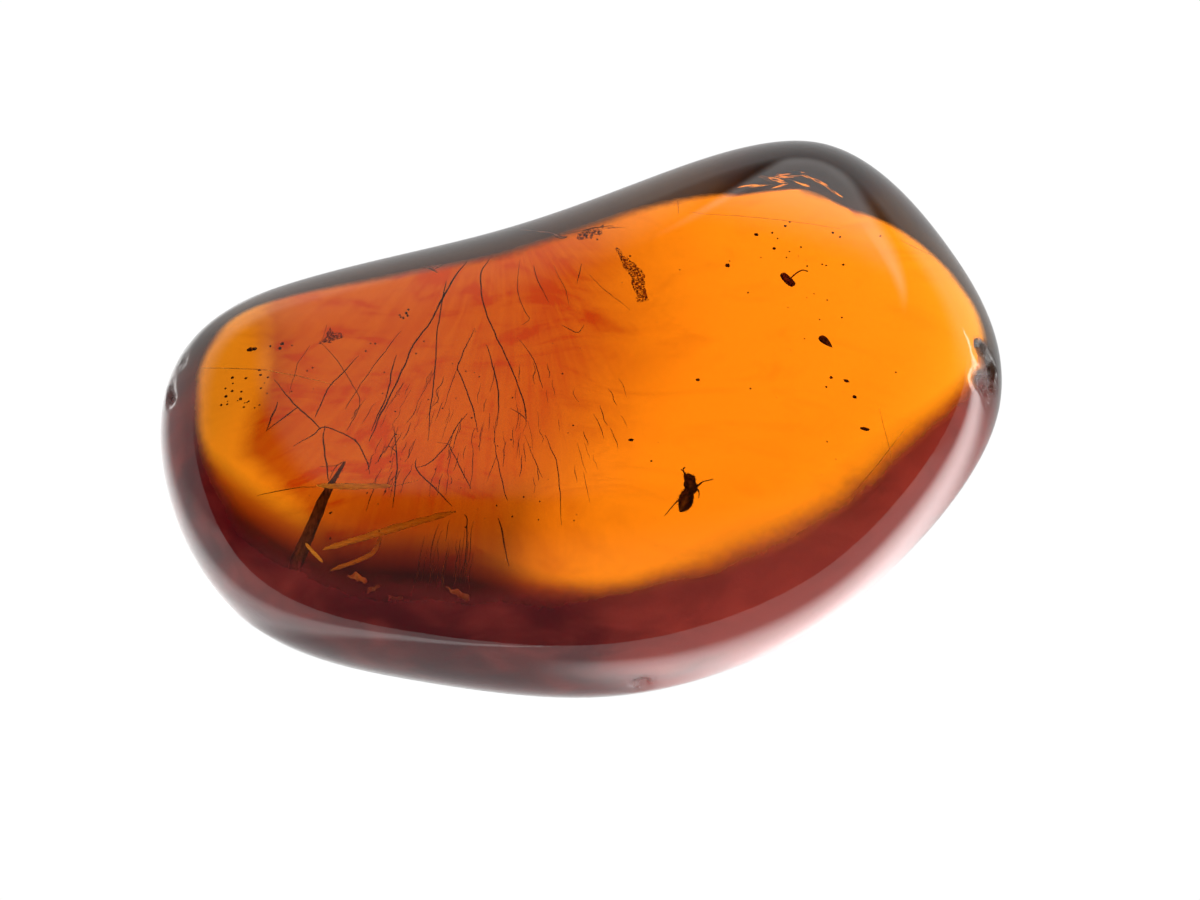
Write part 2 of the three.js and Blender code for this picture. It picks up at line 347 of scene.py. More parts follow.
# %% Crack leaves
# Each row: place x, y, z, half length, half height, turn about the vertical, lean, in millimetres, degrees.
LEAVES = [
    (10.9, 12.65, 10.4, 1.1, 0.55, 8, 12),
    (11.9, 13.35, 10.1, 0.9, 0.7, -14, 4),
    (13.0, 13.85, 9.9, 1.2, 0.6, 10, -8),
    (13.6, 12.95, 10.5, 0.8, 0.4, -20, 15),
    (14.6, 13.35, 10.2, 1.0, 0.5, -30, 6),
    (15.7, 12.45, 10.3, 0.9, 0.45, -38, 10),
    (12.4, 12.45, 11.0, 0.6, 0.3, 25, 18),
    (0.4, 8.85, 10.6, 1.7, 0.35, 12, 14),
    (1.6, 8.95, 10.4, 1.2, 0.3, 4, 6),
]
LEAF_THICKNESS = 0.035
LEAF_WAVE = 0.12
LEAF_RAGGED = 0.25
LEAF_AROUND = 40
LEAF_RINGS = 12


def crack_leaf(x, y, z, length, height, turn, lean):
    """A thin hollow lens with a wavy, pointed outline; its faces look into the hollow."""
    turn, lean = math.radians(turn), math.radians(lean)
    frame_of = Matrix.Rotation(turn, 3, "Z") @ Matrix.Rotation(lean, 3, "X")
    rings = []
    for side in (1, -1):
        shares = np.linspace(0, 1, LEAF_RINGS + 1)[1:]
        for share in shares if side == 1 else shares[-2::-1]:
            ring = []
            for angle in np.linspace(0, 2 * math.pi, LEAF_AROUND, endpoint=False):
                rim = Vector((3 * math.cos(angle), 3 * math.sin(angle), x * 7))
                ragged = 1 + LEAF_RAGGED * noise.noise(rim)
                along = share * ragged * length * math.cos(angle)
                up = share * ragged * height * math.sin(angle) * (1 - 0.5 * math.cos(angle) ** 2)
                wave = LEAF_WAVE * noise.noise(Vector((along * 1.3, up * 2.2, y * 5)))
                thick = side * LEAF_THICKNESS * (1 - share**2)
                ring.append(frame_of @ Vector((along, wave + thick, up)) + Vector((x, y, z)))
            rings.append(ring)
    return loft(rings)


def join(parts):
    """Points and faces of several parts as one."""
    points, faces, count = [], [], 0
    for part_points, part_faces in parts:
        points.append(part_points)
        faces += [[corner + count for corner in face] for face in part_faces]
        count += len(part_points)
    return np.concatenate(points), faces


def volume(points, faces):
    """Signed volume of a closed skin, positive where the faces point outwards."""
    total = 0.0
    for face in faces:
        first = points[face[0]]
        for a, b in zip(face[1:-1], face[2:]):
            total += np.dot(first, np.cross(points[a], points[b])) / 6
    return total


leaves = []
for row in LEAVES:
    leaf_points, leaf_faces = crack_leaf(*row)
    if volume(leaf_points, leaf_faces) > 0:
        leaf_faces = [face[::-1] for face in leaf_faces]
    leaves.append((leaf_points, leaf_faces))
if volume(amber_points, amber_faces) < 0:
    amber_faces = [face[::-1] for face in amber_faces]
whole_points, whole_faces = join([(amber_points, amber_faces), *leaves])
print("crack leaves:", len(leaves))

# %% [markdown]
# ## Clear orange resin
# Amber is see-through: light bends at the skin, and blue and green are lost on the way. So the surface only
# transmits, and the colour comes from absorption in the body, which makes thin edges pale and long paths
# deep red. The polish has faint waves, and the broken chips are rough.

# %% Amber finish
AMBER_BEND = 1.54
AMBER_TINT = rgb(0.837, 0.622, 0.0)
AMBER_DEPTH = 490
POLISH_ROUGHNESS = 0.006
CHIP_ROUGHNESS = 0.32

resin = Finish("amber_resin")
broken = resin.node("ShaderNodeAttribute", {"attribute_name": "broken"}, output=2)
grit = resin.cloud(resin.place(), 2.4, 6, 0.65)
polish = resin.cloud(resin.place(), 0.35, 2)
scuffs = resin.cloud(resin.place((0.4, 5, 2)), 1.4, 2)
resin.set(
    Base_Color=rgb(1, 1, 1),
    IOR=AMBER_BEND,
    Transmission_Weight=1.0,
    Roughness=broken * (CHIP_ROUGHNESS * grit * 1.6) + POLISH_ROUGHNESS * scuffs,
)
resin.raise_by(grit * broken * 0.9 + polish * 0.05, 0.6, 0.18)
body = resin.tree.nodes.new("ShaderNodeVolumeAbsorption")
body.inputs["Color"].default_value = AMBER_TINT
body.inputs["Density"].default_value = AMBER_DEPTH
resin.tree.links.new(body.outputs[0], resin.tree.nodes["Material Output"].inputs["Volume"])


def add_piece(name, points, faces, finish, slot, nodes=()):
    """A smooth mesh at the origin that rides on the one body and stands for its CAD nodes."""
    mesh = bpy.data.meshes.new(name)
    mesh.from_pydata((np.asarray(points) * MM).tolist(), [], faces)
    mesh.shade_smooth()
    mesh.materials.append(finish.material)
    piece = bpy.data.objects.new(name, mesh)
    bpy.context.scene.collection.objects.link(piece)
    return seal_in(piece, nodes)


def seal_in(piece, nodes=()):
    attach(piece, "root")
    if nodes:
        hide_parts(*nodes)
    return piece


amber = add_piece("amber_stone", whole_points, whole_faces, resin, "amber", ("amber_lower", "amber_upper"))
mark = amber.data.attributes.new("broken", "FLOAT", "POINT")
share = np.zeros(len(whole_points))
share[: len(broken_skin)] = broken_skin
mark.data.foreach_set("value", share)
print("amber piece:", len(amber.data.polygons), "faces")

# %% [markdown]
# ## The insect
# It is about two and a half millimetres long: a broad head with eyes and jaws, a blocky thorax, a waist, a
# pointed abdomen of overlapping rings, six jointed legs and two beaded feelers. Lofted rings give each part
# its own relief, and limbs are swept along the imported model's lines with a thickness for every joint.

# %% Swept limbs and lofted body parts
def bend_through(points, count):
    """A smooth line through the points."""
    points = np.asarray(points, float)
    ends = np.r_[[2 * points[0] - points[1]], points, [2 * points[-1] - points[-2]]]
    along = np.linspace(0, len(points) - 1, count)
    k = np.minimum(along.astype(int), len(points) - 2)
    t = (along - k)[:, None]
    a, b, c, d = ends[k], ends[k + 1], ends[k + 2], ends[k + 3]
    return (2 * b + (c - a) * t + (2 * a - 5 * b + 4 * c - d) * t**2 + (3 * b - a - 3 * c + d) * t**3) / 2


def sweep(path, radii, sides=10, flat=1.0, relief=None):
    """A closed rod along a path; relief changes the radius by row share and angle."""
    path = np.asarray(path, float)
    tangents = np.gradient(path, axis=0)
    tangents /= np.linalg.norm(tangents, axis=1)[:, None]
    side = np.cross(tangents[0], [0.0, 0.0, 1.0])
    side /= np.linalg.norm(side)
    angles = np.linspace(0, 2 * math.pi, sides, endpoint=False)
    rings = []
    for row, (spot, tangent, radius) in enumerate(zip(path, tangents, radii)):
        side = side - tangent * np.dot(side, tangent)
        side /= np.linalg.norm(side)
        up = np.cross(tangent, side)
        ring = []
        for angle in angles:
            reach = radius * (relief(row / len(path), angle) if relief else 1)
            ring.append(spot + side * reach * math.cos(angle) + up * reach * flat * math.sin(angle))
        rings.append(ring)
    return loft(rings)


def rounded(radii, tip=0.15):
    """Radii that close smoothly over the last part of each end."""
    share = np.linspace(0, 1, len(radii))
    edge = np.clip(np.minimum(share, 1 - share) / tip, 0, 1)
    return np.asarray(radii) * np.sqrt(np.clip(1 - (1 - edge) ** 2, 0.0004, 1))


def egg(centre, half, relief=None, rows=26, sides=28):
    """A rounded body part along Y."""
    share = np.linspace(-1, 1, rows)
    path = np.c_[np.zeros(rows), share * 0.995, np.zeros(rows)]
    radii = np.sqrt(np.clip(1 - share**2, 0.003, 1))
    points, faces = sweep(path, radii, sides, 1.0, relief)
    return points * np.asarray(half) + np.asarray(centre), faces


# %% Body of the insect
def thorax_relief(row, angle):
    seams = math.exp(-(((row - 0.36) / 0.035) ** 2)) + math.exp(-(((row - 0.68) / 0.035) ** 2))
    keel = math.exp(-(((angle - math.pi / 2) / 0.1) ** 2))
    return 1 - 0.1 * seams - 0.05 * keel + 0.04 * math.cos(4 * angle)


def head_relief(row, angle):
    return 1 + 0.05 * math.cos(4 * angle) - 0.05 * math.exp(-(((angle - math.pi / 2) / 0.12) ** 2))


ABDOMEN_PROFILE = [(0.02, 0), (0.24, 0.1), (0.36, 0.4), (0.39, 0.7), (0.33, 1), (0.17, 1.34), (0.015, 1.56)]
ABDOMEN_START = 0.1
ABDOMEN_TURN = -0.42
ABDOMEN_ROWS = 48
ABDOMEN_RINGS = 6


def abdomen():
    profile = bend_through([(r, s, 0) for r, s in ABDOMEN_PROFILE], ABDOMEN_ROWS)
    path = np.c_[np.zeros(ABDOMEN_ROWS), ABDOMEN_START - profile[:, 1], np.zeros(ABDOMEN_ROWS)]
    phase = profile[:, 1] / ABDOMEN_PROFILE[-1][1] * ABDOMEN_RINGS % 1
    radii = np.maximum(profile[:, 0], 0.01) * (0.93 + 0.08 * phase)
    points, faces = sweep(path, radii, 28)
    turn = Matrix.Rotation(ABDOMEN_TURN, 3, "Z")
    return np.array([turn @ Vector(point) for point in points]), faces


insect_parts = [
    egg((0.06, 0.84, 0), (0.32, 0.26, 0.26), head_relief),
    egg((-0.19, 0.9, 0.08), (0.08, 0.12, 0.12)),
    egg((0.31, 0.9, 0.08), (0.08, 0.12, 0.12)),
    egg((0.07, 0.42, 0), (0.37, 0.42, 0.33), thorax_relief),
    egg((0.02, 0, 0), (0.22, 0.24, 0.19)),
    abdomen(),
]
print("insect body parts:", len(insect_parts))

# %% Legs, feelers and jaws
LEGS = [
    [[0.3, 0.5, -0.1], [0.56, 0.5, 0.1], [0.82, 0.7, 0.15], [1.42, 1.12, 0]],
    [[0.28, 0.32, -0.1], [0.48, 0.16, 0.12], [0.54, -0.02, 0.1], [0.5, -0.2, -0.1]],
    [[0.2, 0.6, -0.2], [0.3, 0.75, -0.35], [0.24, 0.98, -0.45]],
    [[-0.12, 0.6, -0.2], [-0.2, 0.72, -0.4], [-0.12, 0.9, -0.5]],
    [[-0.15, 0.42, -0.2], [-0.3, 0.3, -0.42], [-0.24, 0.02, -0.5]],
    [[-0.1, 0.25, -0.15], [-0.5, -0.3, -0.1], [-0.95, -0.8, -0.15], [-1.5, -1.5, -0.25]],
]
FEELERS = [
    [[-0.14, 0.98, 0.1], [-0.24, 1.16, 0.16], [-0.27, 1.32, 0.16], [-0.16, 1.5, 0.14]],
    [[-0.1, 0.98, 0.02], [-0.22, 1.14, 0.02], [-0.3, 1.32, 0], [-0.42, 1.4, -0.02]],
]
JAWS = [[[-0.05, 1.02, -0.08], [-0.06, 1.12, -0.1], [0.02, 1.17, -0.12]],
        [[0.17, 1.02, -0.08], [0.18, 1.12, -0.1], [0.1, 1.17, -0.12]]]
LEG_ROOT, LEG_KNEE, LEG_FOOT = 0.07, 0.036, 0.014
FEELER_RADIUS, FEELER_BEADS = 0.034, 9
JAW_RADIUS, JAW_TIP, JAW_ROWS = 0.045, 0.01, 16
LIMB_ROWS, LIMB_SIDES, LIMB_TIP = 44, 8, 0.04


def leg(line):
    """A leg that swells in each joint's stretch and thins towards the foot."""
    share = np.linspace(0, 1, LIMB_ROWS)
    stretch = share * (len(line) - 1) % 1
    thin = np.interp(share, [0, 0.45, 1], [LEG_ROOT, LEG_KNEE, LEG_FOOT])
    girth = thin * (0.85 + 0.3 * np.sin(stretch * math.pi))
    return sweep(bend_through(line, LIMB_ROWS), rounded(girth, LIMB_TIP), LIMB_SIDES)


def feeler(line):
    beads = 0.8 + 0.25 * np.abs(np.sin(np.linspace(0, FEELER_BEADS * math.pi, LIMB_ROWS)))
    return sweep(bend_through(line, LIMB_ROWS), rounded(FEELER_RADIUS * beads, LIMB_TIP), LIMB_SIDES)


def jaw(line):
    girth = np.linspace(JAW_RADIUS, JAW_TIP, JAW_ROWS)
    return sweep(bend_through(line, JAW_ROWS), rounded(girth, 0.1), LIMB_SIDES)


for make, lines in ((leg, LEGS), (feeler, FEELERS), (jaw, JAWS)):
    insect_parts += [make(line) for line in lines]
INSECT_PLACE = np.array([6.35, -8.85, 6.15])
INSECT_TIP, INSECT_TURN = -0.27, -0.04
INSECT_POSE = Matrix.Rotation(INSECT_TIP, 3, "X") @ Matrix.Rotation(INSECT_TURN, 3, "Z")
insect_points, insect_faces = join(insect_parts)
insect_points = np.array([INSECT_POSE @ Vector(point) for point in insect_points]) + INSECT_PLACE
print("insect:", len(insect_faces), "faces")

# %% [markdown]
# ## Shell of the insect and its bristles
# The shell is dark brown with red-brown edges where it is thin. It carries short bristles, too many to place
# by hand: Geometry Nodes scatter points over the body, stand a four-sided spike on each, and make the
# whole one mesh.

# %% Shell finish and bristles
shell = Finish("insect_shell")
pits = shell.cloud(shell.place(), 14, 4)
mottle = shell.cloud(shell.place(), 3.2, 3)
shell.set(
    Base_Color=shell.blend(mottle.between(0.35, 0.7), rgb(0.06, 0.04, 0.022), rgb(0.2, 0.09, 0.04)),
    Roughness=0.3 + 0.25 * pits,
    Transmission_Weight=0.25,
)
shell.raise_by(pits, 0.5, 0.02)


class GrowTree(Bench):
    """A Geometry Nodes tree with named inputs that ends in one material."""

    def __init__(self, name, **inputs):
        super().__init__(bpy.data.node_groups.new(name, "GeometryNodeTree"))
        face = self.tree.interface
        face.new_socket("Geometry", in_out="INPUT", socket_type="NodeSocketGeometry")
        face.new_socket("Geometry", in_out="OUTPUT", socket_type="NodeSocketGeometry")
        self.values = {}
        for label, value in inputs.items():
            kind = "NodeSocketInt" if isinstance(value, int) else "NodeSocketFloat"
            self.values[face.new_socket(label, in_out="INPUT", socket_type=kind).identifier] = value
        self.group = self.tree.nodes.new("NodeGroupInput")
        self.base = Wire(self, self.group.outputs["Geometry"])

    def size(self, label):
        return Wire(self, self.group.outputs[label])

    def end(self, geometry, finish):
        whole = self.node("GeometryNodeRealizeInstances", {}, {0: geometry})
        smooth = self.node("GeometryNodeSetShadeSmooth", {}, {0: whole})
        dressed = self.node("GeometryNodeSetMaterial", {}, {0: smooth, 2: finish.material})
        out = self.tree.nodes.new("NodeGroupOutput")
        self.tree.links.new(dressed.socket, out.inputs[0])

    def grow(self, piece):
        """Run the tree on a piece and keep the result as its plain mesh."""
        run = piece.modifiers.new("grow", "NODES")
        run.node_group = self.tree
        for identifier, value in self.values.items():
            run[identifier] = value
        view = bpy.context.evaluated_depsgraph_get()
        grown = bpy.data.meshes.new_from_object(piece.evaluated_get(view))
        piece.modifiers.remove(run)
        piece.data = grown
        return piece


def base_piece(name, points, faces, edges=()):
    """A bare mesh at the origin for a Geometry Nodes tree to grow from."""
    mesh = bpy.data.meshes.new(name)
    mesh.from_pydata((np.asarray(points) * MM).tolist(), edges, faces)
    piece = bpy.data.objects.new(name, mesh)
    bpy.context.scene.collection.objects.link(piece)
    return piece


bristles = GrowTree("bristles", Density=55e6, Length=0.13 * MM, Thickness=0.008 * MM, Seed=4)
spots = bristles.node(
    "GeometryNodeDistributePointsOnFaces", {},
    {"Mesh": bristles.base, "Density": bristles.size("Density"), "Seed": bristles.size("Seed")},
)
spot_turn = Wire(bristles, spots.socket.node.outputs["Rotation"])
spike = bristles.node(
    "GeometryNodeMeshCone", {},
    {
        "Vertices": 4, "Radius Top": 0.0,
        "Radius Bottom": bristles.size("Thickness"), "Depth": bristles.size("Length"),
    },
)
stood = bristles.node(
    "GeometryNodeInstanceOnPoints", {},
    {"Points": spots, "Instance": spike, "Rotation": spot_turn},
)
both = bristles.node("GeometryNodeJoinGeometry", {}, {0: stood})
bristles.tree.links.new(bristles.base.socket, both.socket.node.inputs[0])
bristles.end(both, shell)
insect = bristles.grow(base_piece("insect_body", insect_points, insect_faces))
seal_in(insect, ("insect",))
print("insect with bristles:", len(insect.data.polygons), "faces")

# %% [markdown]
# ## Larva and husk
# The larva is a curled grub of seven soft rings that trails a bent thread. The husk is a flat pointed seed
# coat with ribs. Both are lofted like the insect's body, with their own relief.

# %% Larva
LARVA_LINE = [[12.4, 7.3, 6.05], [12.6, 6.95, 6.1], [12.86, 6.61, 6.1], [13.13, 6.35, 6]]
LARVA_RADII = [0.2, 0.27, 0.28, 0.2]
LARVA_THREAD = [[12.8, 6.7, 6.1], [13.1, 7.1, 6.15], [13.6, 7.52, 6.15], [14.03, 7.47, 6.1]]
LARVA_ROWS = 60
LARVA_RINGS = 7
THREAD_RADIUS, THREAD_ROWS = 0.05, 40

grub_line = bend_through(LARVA_LINE, LARVA_ROWS)
grub_share = np.linspace(0, 1, LARVA_ROWS)
grub_girth = np.interp(grub_share, np.linspace(0, 1, 4), LARVA_RADII)
grub_girth *= 0.86 + 0.14 * np.abs(np.sin(grub_share * LARVA_RINGS * math.pi))
grub = sweep(grub_line, rounded(grub_girth, 0.12), 20)
thread_girth = rounded(np.full(THREAD_ROWS, THREAD_RADIUS), 0.05)
thread = sweep(bend_through(LARVA_THREAD, THREAD_ROWS), thread_girth, LIMB_SIDES)
larva_skin = Finish("larva_skin")
wrinkle = larva_skin.cloud(larva_skin.place(), 9, 4)
larva_skin.set(
    Base_Color=larva_skin.blend(wrinkle.between(0.3, 0.7), rgb(0.12, 0.01, 0.004), rgb(0.3, 0.05, 0.015)),
    Roughness=0.35 + 0.3 * wrinkle,
    Transmission_Weight=0.45,
)
larva_skin.raise_by(wrinkle, 0.5, 0.03)
larva = add_piece("larva_grub", *join([grub, thread]), larva_skin, "larva_skin", ("larva",))
print("larva:", len(larva.data.polygons), "faces")

# %% Husk
HUSK_PROFILE = [(0.02, 0), (0.2, 0.1), (0.26, 0.4), (0.16, 0.8), (0.012, 1.15)]
HUSK_FLATNESS = 0.55
HUSK_PLACE = Vector((14.6, 2.45, 6.05))
HUSK_TURN = -2.42
HUSK_RIBS = 7
HUSK_ROWS, HUSK_SIDES = 40, 42

husk_line = bend_through([(r, s, 0) for r, s in HUSK_PROFILE], HUSK_ROWS)
husk_points, husk_faces = sweep(
    np.c_[np.zeros(HUSK_ROWS), husk_line[:, 1], np.zeros(HUSK_ROWS)],
    np.maximum(husk_line[:, 0], 0.01), HUSK_SIDES, HUSK_FLATNESS,
    lambda row, angle: 0.96 + 0.05 * math.cos(HUSK_RIBS * angle),
)
husk_pose = Matrix.Rotation(HUSK_TURN, 3, "Z")
husk_points = np.array([husk_pose @ Vector(point) + HUSK_PLACE for point in husk_points])
husk_shell = Finish("husk_shell")
flecks = husk_shell.cloud(husk_shell.place(), 7, 5)
husk_shell.set(
    Base_Color=husk_shell.blend(flecks.between(0.35, 0.65), rgb(0.045, 0.014, 0.005), rgb(0.2, 0.07, 0.015)),
    Roughness=0.45 + 0.3 * flecks,
    Transmission_Weight=0.45,
)
husk_shell.raise_by(flecks, 0.6, 0.03)
husk = add_piece("husk_coat", husk_points, husk_faces, husk_shell, "husk_shell", ("husk",))
print("husk:", len(husk.data.polygons), "faces")

# %% [markdown]
# ## Twig and splinters
# In the left front lie a dark bent twig with furrowed bark and four pale slivers of wood. Each follows its
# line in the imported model; the twig's relief is cracked bark, the slivers are flat and fibrous and end in
# points, and their grain runs along them.

# %% Twig
TWIG_LINE = [[-14.2, -7.25, 7], [-15.1, -8.85, 6.4], [-16.2, -11.15, 5.4], [-17.3, -13.45, 4.6]]
TWIG_RADIUS = 0.32
TWIG_ROWS, TWIG_SIDES, TWIG_FLATNESS = 110, 30, 0.8
# Shares of the length, and the thickness there as a share of the radius.
TWIG_TAPER = [0, 0.22, 0.4, 0.7, 1], [0.2, 0.45, 0.95, 1.1, 0.8]


def bark_relief(row, angle):
    spot = Vector((2.2 * math.cos(angle), 2.2 * math.sin(angle), row * 9))
    return 1.02 + 0.22 * noise.noise(spot) + 0.1 * noise.noise(spot * 3.1)


twig_girth = rounded(TWIG_RADIUS * np.interp(np.linspace(0, 1, TWIG_ROWS), *TWIG_TAPER), 0.02)
twig_line = bend_through(TWIG_LINE, TWIG_ROWS)
twig_points, twig_faces = sweep(twig_line, twig_girth, TWIG_SIDES, TWIG_FLATNESS, bark_relief)
bark = Finish("twig_bark")
furrow = bark.cloud(bark.place((2.2, 1, 1)), 3.4, 5, 0.65)
bark.set(
    Base_Color=bark.blend(furrow.between(0.3, 0.7), rgb(0.1, 0.05, 0.035), rgb(0.35, 0.17, 0.1)),
    Roughness=0.6 + 0.3 * furrow,
    Transmission_Weight=0.5,
)
bark.raise_by(furrow, 0.8, 0.06)
twig = add_piece("twig_stick", twig_points, twig_faces, bark, "dark_wood", ("twig",))
print("twig:", len(twig.data.polygons), "faces")

# %% Splinters
# Each entry: centre line and half width, in millimetres.
SPLINTERS = {
    "splinter_long": ([[-15.2, -12.05, 6.5], [-11.4, -11.05, 6.4], [-7.5, -10.1, 6.2]], 0.17),
    "splinter_upper": ([[-15.8, -9.05, 7.8], [-13.6, -9.25, 7.6], [-11.3, -9.25, 7.4]], 0.14),
    "splinter_bent": ([[-14.7, -12.55, 5.4], [-12.4, -11.7, 5.4], [-11.8, -10.65, 5.35]], 0.12),
    "splinter_short": ([[-16.2, -11.95, 7], [-15.7, -12.6, 7], [-15.2, -13.15, 6.95]], 0.1),
}
SPLINTER_ROWS, SPLINTER_SIDES, SPLINTER_FLATNESS = 70, 20, 0.6
SPLINTER_FIBRES = 5
SPLINTER_TAPER = [0, 0.1, 0.5, 0.9, 1], [0.3, 0.85, 1.05, 0.8, 0.2]

wood = Finish("pale_wood")
grain_share = wood.node("ShaderNodeAttribute", {"attribute_name": "across"}, output=2)
fibre = wood.cloud(wood.place((0.5, 3, 3)), 4, 4)
streaky = (fibre * 0.7 + grain_share * 0.3).between(0.25, 0.7)
wood.set(
    Base_Color=wood.blend(streaky, rgb(0.85, 0.55, 0.25), rgb(1, 0.85, 0.55)),
    Roughness=0.8 + 0.2 * fibre,
    Transmission_Weight=0.4,
    IOR=1.15,
)
wood.raise_by(fibre, 0.6, 0.04)


def sliver(line, half_width, seed):
    """A flat fibrous sliver with pointed, ragged ends."""
    def fibres(row, angle):
        ragged = noise.noise(Vector((row * 14, math.cos(angle) * 2, seed + math.sin(angle) * 2)))
        return 1 + 0.1 * math.cos(SPLINTER_FIBRES * angle + row * 2) + 0.25 * ragged

    girth = rounded(half_width * np.interp(np.linspace(0, 1, SPLINTER_ROWS), *SPLINTER_TAPER), 0.03)
    return sweep(bend_through(line, SPLINTER_ROWS), girth, SPLINTER_SIDES, SPLINTER_FLATNESS, fibres)


fibre_marks = np.tile(np.abs(np.sin(np.arange(SPLINTER_SIDES) * 1.9)), SPLINTER_ROWS).tolist() + [0.5, 0.5]
for seed, (name, (line, half_width)) in enumerate(SPLINTERS.items()):
    points, faces = sliver(line, half_width, seed * 5.3)
    piece = add_piece(name + "_wood", points, faces, wood, "pale_wood", (name,))
    across = piece.data.attributes.new("across", "FLOAT", "POINT")
    across.data.foreach_set("value", fibre_marks)
print("splinters:", len(SPLINTERS))

# %% [markdown]
# ## Bark flakes and grains
# The flakes are crumbs of bark: thin plates with a crumbled edge, dense at one end. A plate is cut from its
# outline, divided finely and roughened. Grains are lumps, each a finely divided ball pushed in and out.

# %% Bark flakes
# Each entry: outline, place, tip and turn.
FLAKES = {
    "bark_flake_large": ([(-0.9, 1.9), (-0.1, 1.2), (0.75, 0.1), (0.95, -1.7), (0.35, -1.9), (0.05, -0.3),
                          (-0.5, 0.8)], (3.1, 7, 6), 0.2, 0),
    "bark_flake_small": ([(-0.9, -0.35), (-0.2, -0.3), (0.75, 0.05), (0.95, 0.55), (0.2, 0.35), (-0.5, 0.1)],
                         (0.9, 9.75, 6), 0.15, 0.1),
    "bark_flake_left": ([(-0.75, -0.4), (0.1, -0.25), (0.85, 0.1), (0.3, 0.4), (-0.1, 0.6), (-0.25, 0.05)],
                        (-15.4, 2.45, 6), 0.1, 0),
}
FLAKE_THICKNESS = 0.22
FLAKE_DIVISIONS = 4
FLAKE_RAGGED, FLAKE_RAGGED_SCALE = 0.16, 3.2

crumb = Finish("bark_crumb")
crumbs = crumb.cloud(crumb.place(), 8, 4, 0.6)
crumb.set(
    Base_Color=crumb.blend(crumbs.between(0.35, 0.65), rgb(0.05, 0.018, 0.008), rgb(0.35, 0.1, 0.03)),
    Roughness=0.55 + 0.3 * crumbs,
    Transmission_Weight=0.35,
    Alpha=crumbs.between(0.46, 0.56),
)
crumb.raise_by(crumbs, 0.9, 0.08)


def plate(outline):
    """A thin plate from its outline, divided finely, with both faces and the edge roughened."""
    sheet = bmesh.new()
    sheet.faces.new([sheet.verts.new((x, y, 0)) for x, y in outline])
    bmesh.ops.triangulate(sheet, faces=sheet.faces[:])
    for _ in range(FLAKE_DIVISIONS):
        bmesh.ops.subdivide_edges(sheet, edges=sheet.edges[:], cuts=1, use_grid_fill=True)
    bmesh.ops.solidify(sheet, geom=sheet.faces[:], thickness=FLAKE_THICKNESS)
    bmesh.ops.recalc_face_normals(sheet, faces=sheet.faces[:])
    for vert in sheet.verts:
        vert.co += noise.noise_vector(vert.co * FLAKE_RAGGED_SCALE) * FLAKE_RAGGED
    points = np.array([vert.co[:] for vert in sheet.verts])
    sheet.verts.index_update()
    faces = [[vert.index for vert in face.verts] for face in sheet.faces]
    sheet.free()
    return points, faces


for name, (outline, place, tip, turn) in FLAKES.items():
    points, faces = plate(outline)
    pose = Matrix.Rotation(tip, 3, "X") @ Matrix.Rotation(turn, 3, "Z")
    points = np.array([pose @ Vector(point) for point in points]) + np.array(place)
    add_piece(name + "_crumb", points, faces, crumb, "bark", (name,))
print("bark flakes:", len(FLAKES))

# %% Grains
# Each row: x, y and the half sizes along x and y, in millimetres, on the old flow layer.
GRAINS = [
    (9.05, 7.9, 0.2, 0.17), (16.5, -3.5, 0.32, 0.13), (10.85, 10.4, 0.16, 0.15),
    (11.95, 9.3, 0.14, 0.13), (15.95, -0.7, 0.18, 0.12), (16.2, -1.6, 0.15, 0.12),
    (3, -5.45, 0.24, 0.12), (7.1, -0.95, 0.15, 0.13), (15.2, -0.65, 0.14, 0.12),
]
LAYER_HEIGHT = 6
GRAIN_SCALE, GRAIN_RAGGED = 0.75, 0.4

grit_finish = Finish("grain_grit")
pocks = grit_finish.cloud(grit_finish.place(), 11, 4)
grit_finish.set(
    Base_Color=grit_finish.blend(pocks.between(0.35, 0.7), rgb(0.04, 0.014, 0.008), rgb(0.2, 0.05, 0.02)),
    Roughness=0.5 + 0.3 * pocks,
    Transmission_Weight=0.5,
)
grit_finish.raise_by(pocks, 0.8, 0.03)


def lump(place, half, seed):
    """A finely divided ball, pushed in and out into a broken grain."""
    ball = bmesh.new()
    bmesh.ops.create_icosphere(ball, subdivisions=3, radius=1)
    for vert in ball.verts:
        vert.co *= 1 + GRAIN_RAGGED * noise.noise(vert.co * 1.4 + Vector((seed, 0, 0)))
    points = np.array([vert.co[:] for vert in ball.verts]) * np.asarray(half) + np.asarray(place)
    ball.verts.index_update()
    faces = [[vert.index for vert in face.verts] for face in ball.faces]
    ball.free()
    return points, faces


lumps = []
for i, (x, y, rx, ry) in enumerate(GRAINS):
    half = (GRAIN_SCALE * rx, GRAIN_SCALE * ry, GRAIN_SCALE * ry)
    lumps.append(lump((x, y, LAYER_HEIGHT), half, 3.7 * i))
grain_names = [f"grain_{i + 1}" for i in range(len(GRAINS))]
grains = add_piece("grains", *join(lumps), grit_finish, "grain", grain_names)
print("grains:", len(GRAINS), "lumps")

# %% [markdown]
# ## The fan of fine cracks and the hairs
# From the back edge a fan of dark, branching cracks runs down through the left half, and a few hairs lie
# across it. They follow paths, so one Geometry Nodes tree turns a net of edges into smooth threads: it
# rounds each path, lets it waver a little and gives it the thickness that is stored on its points.

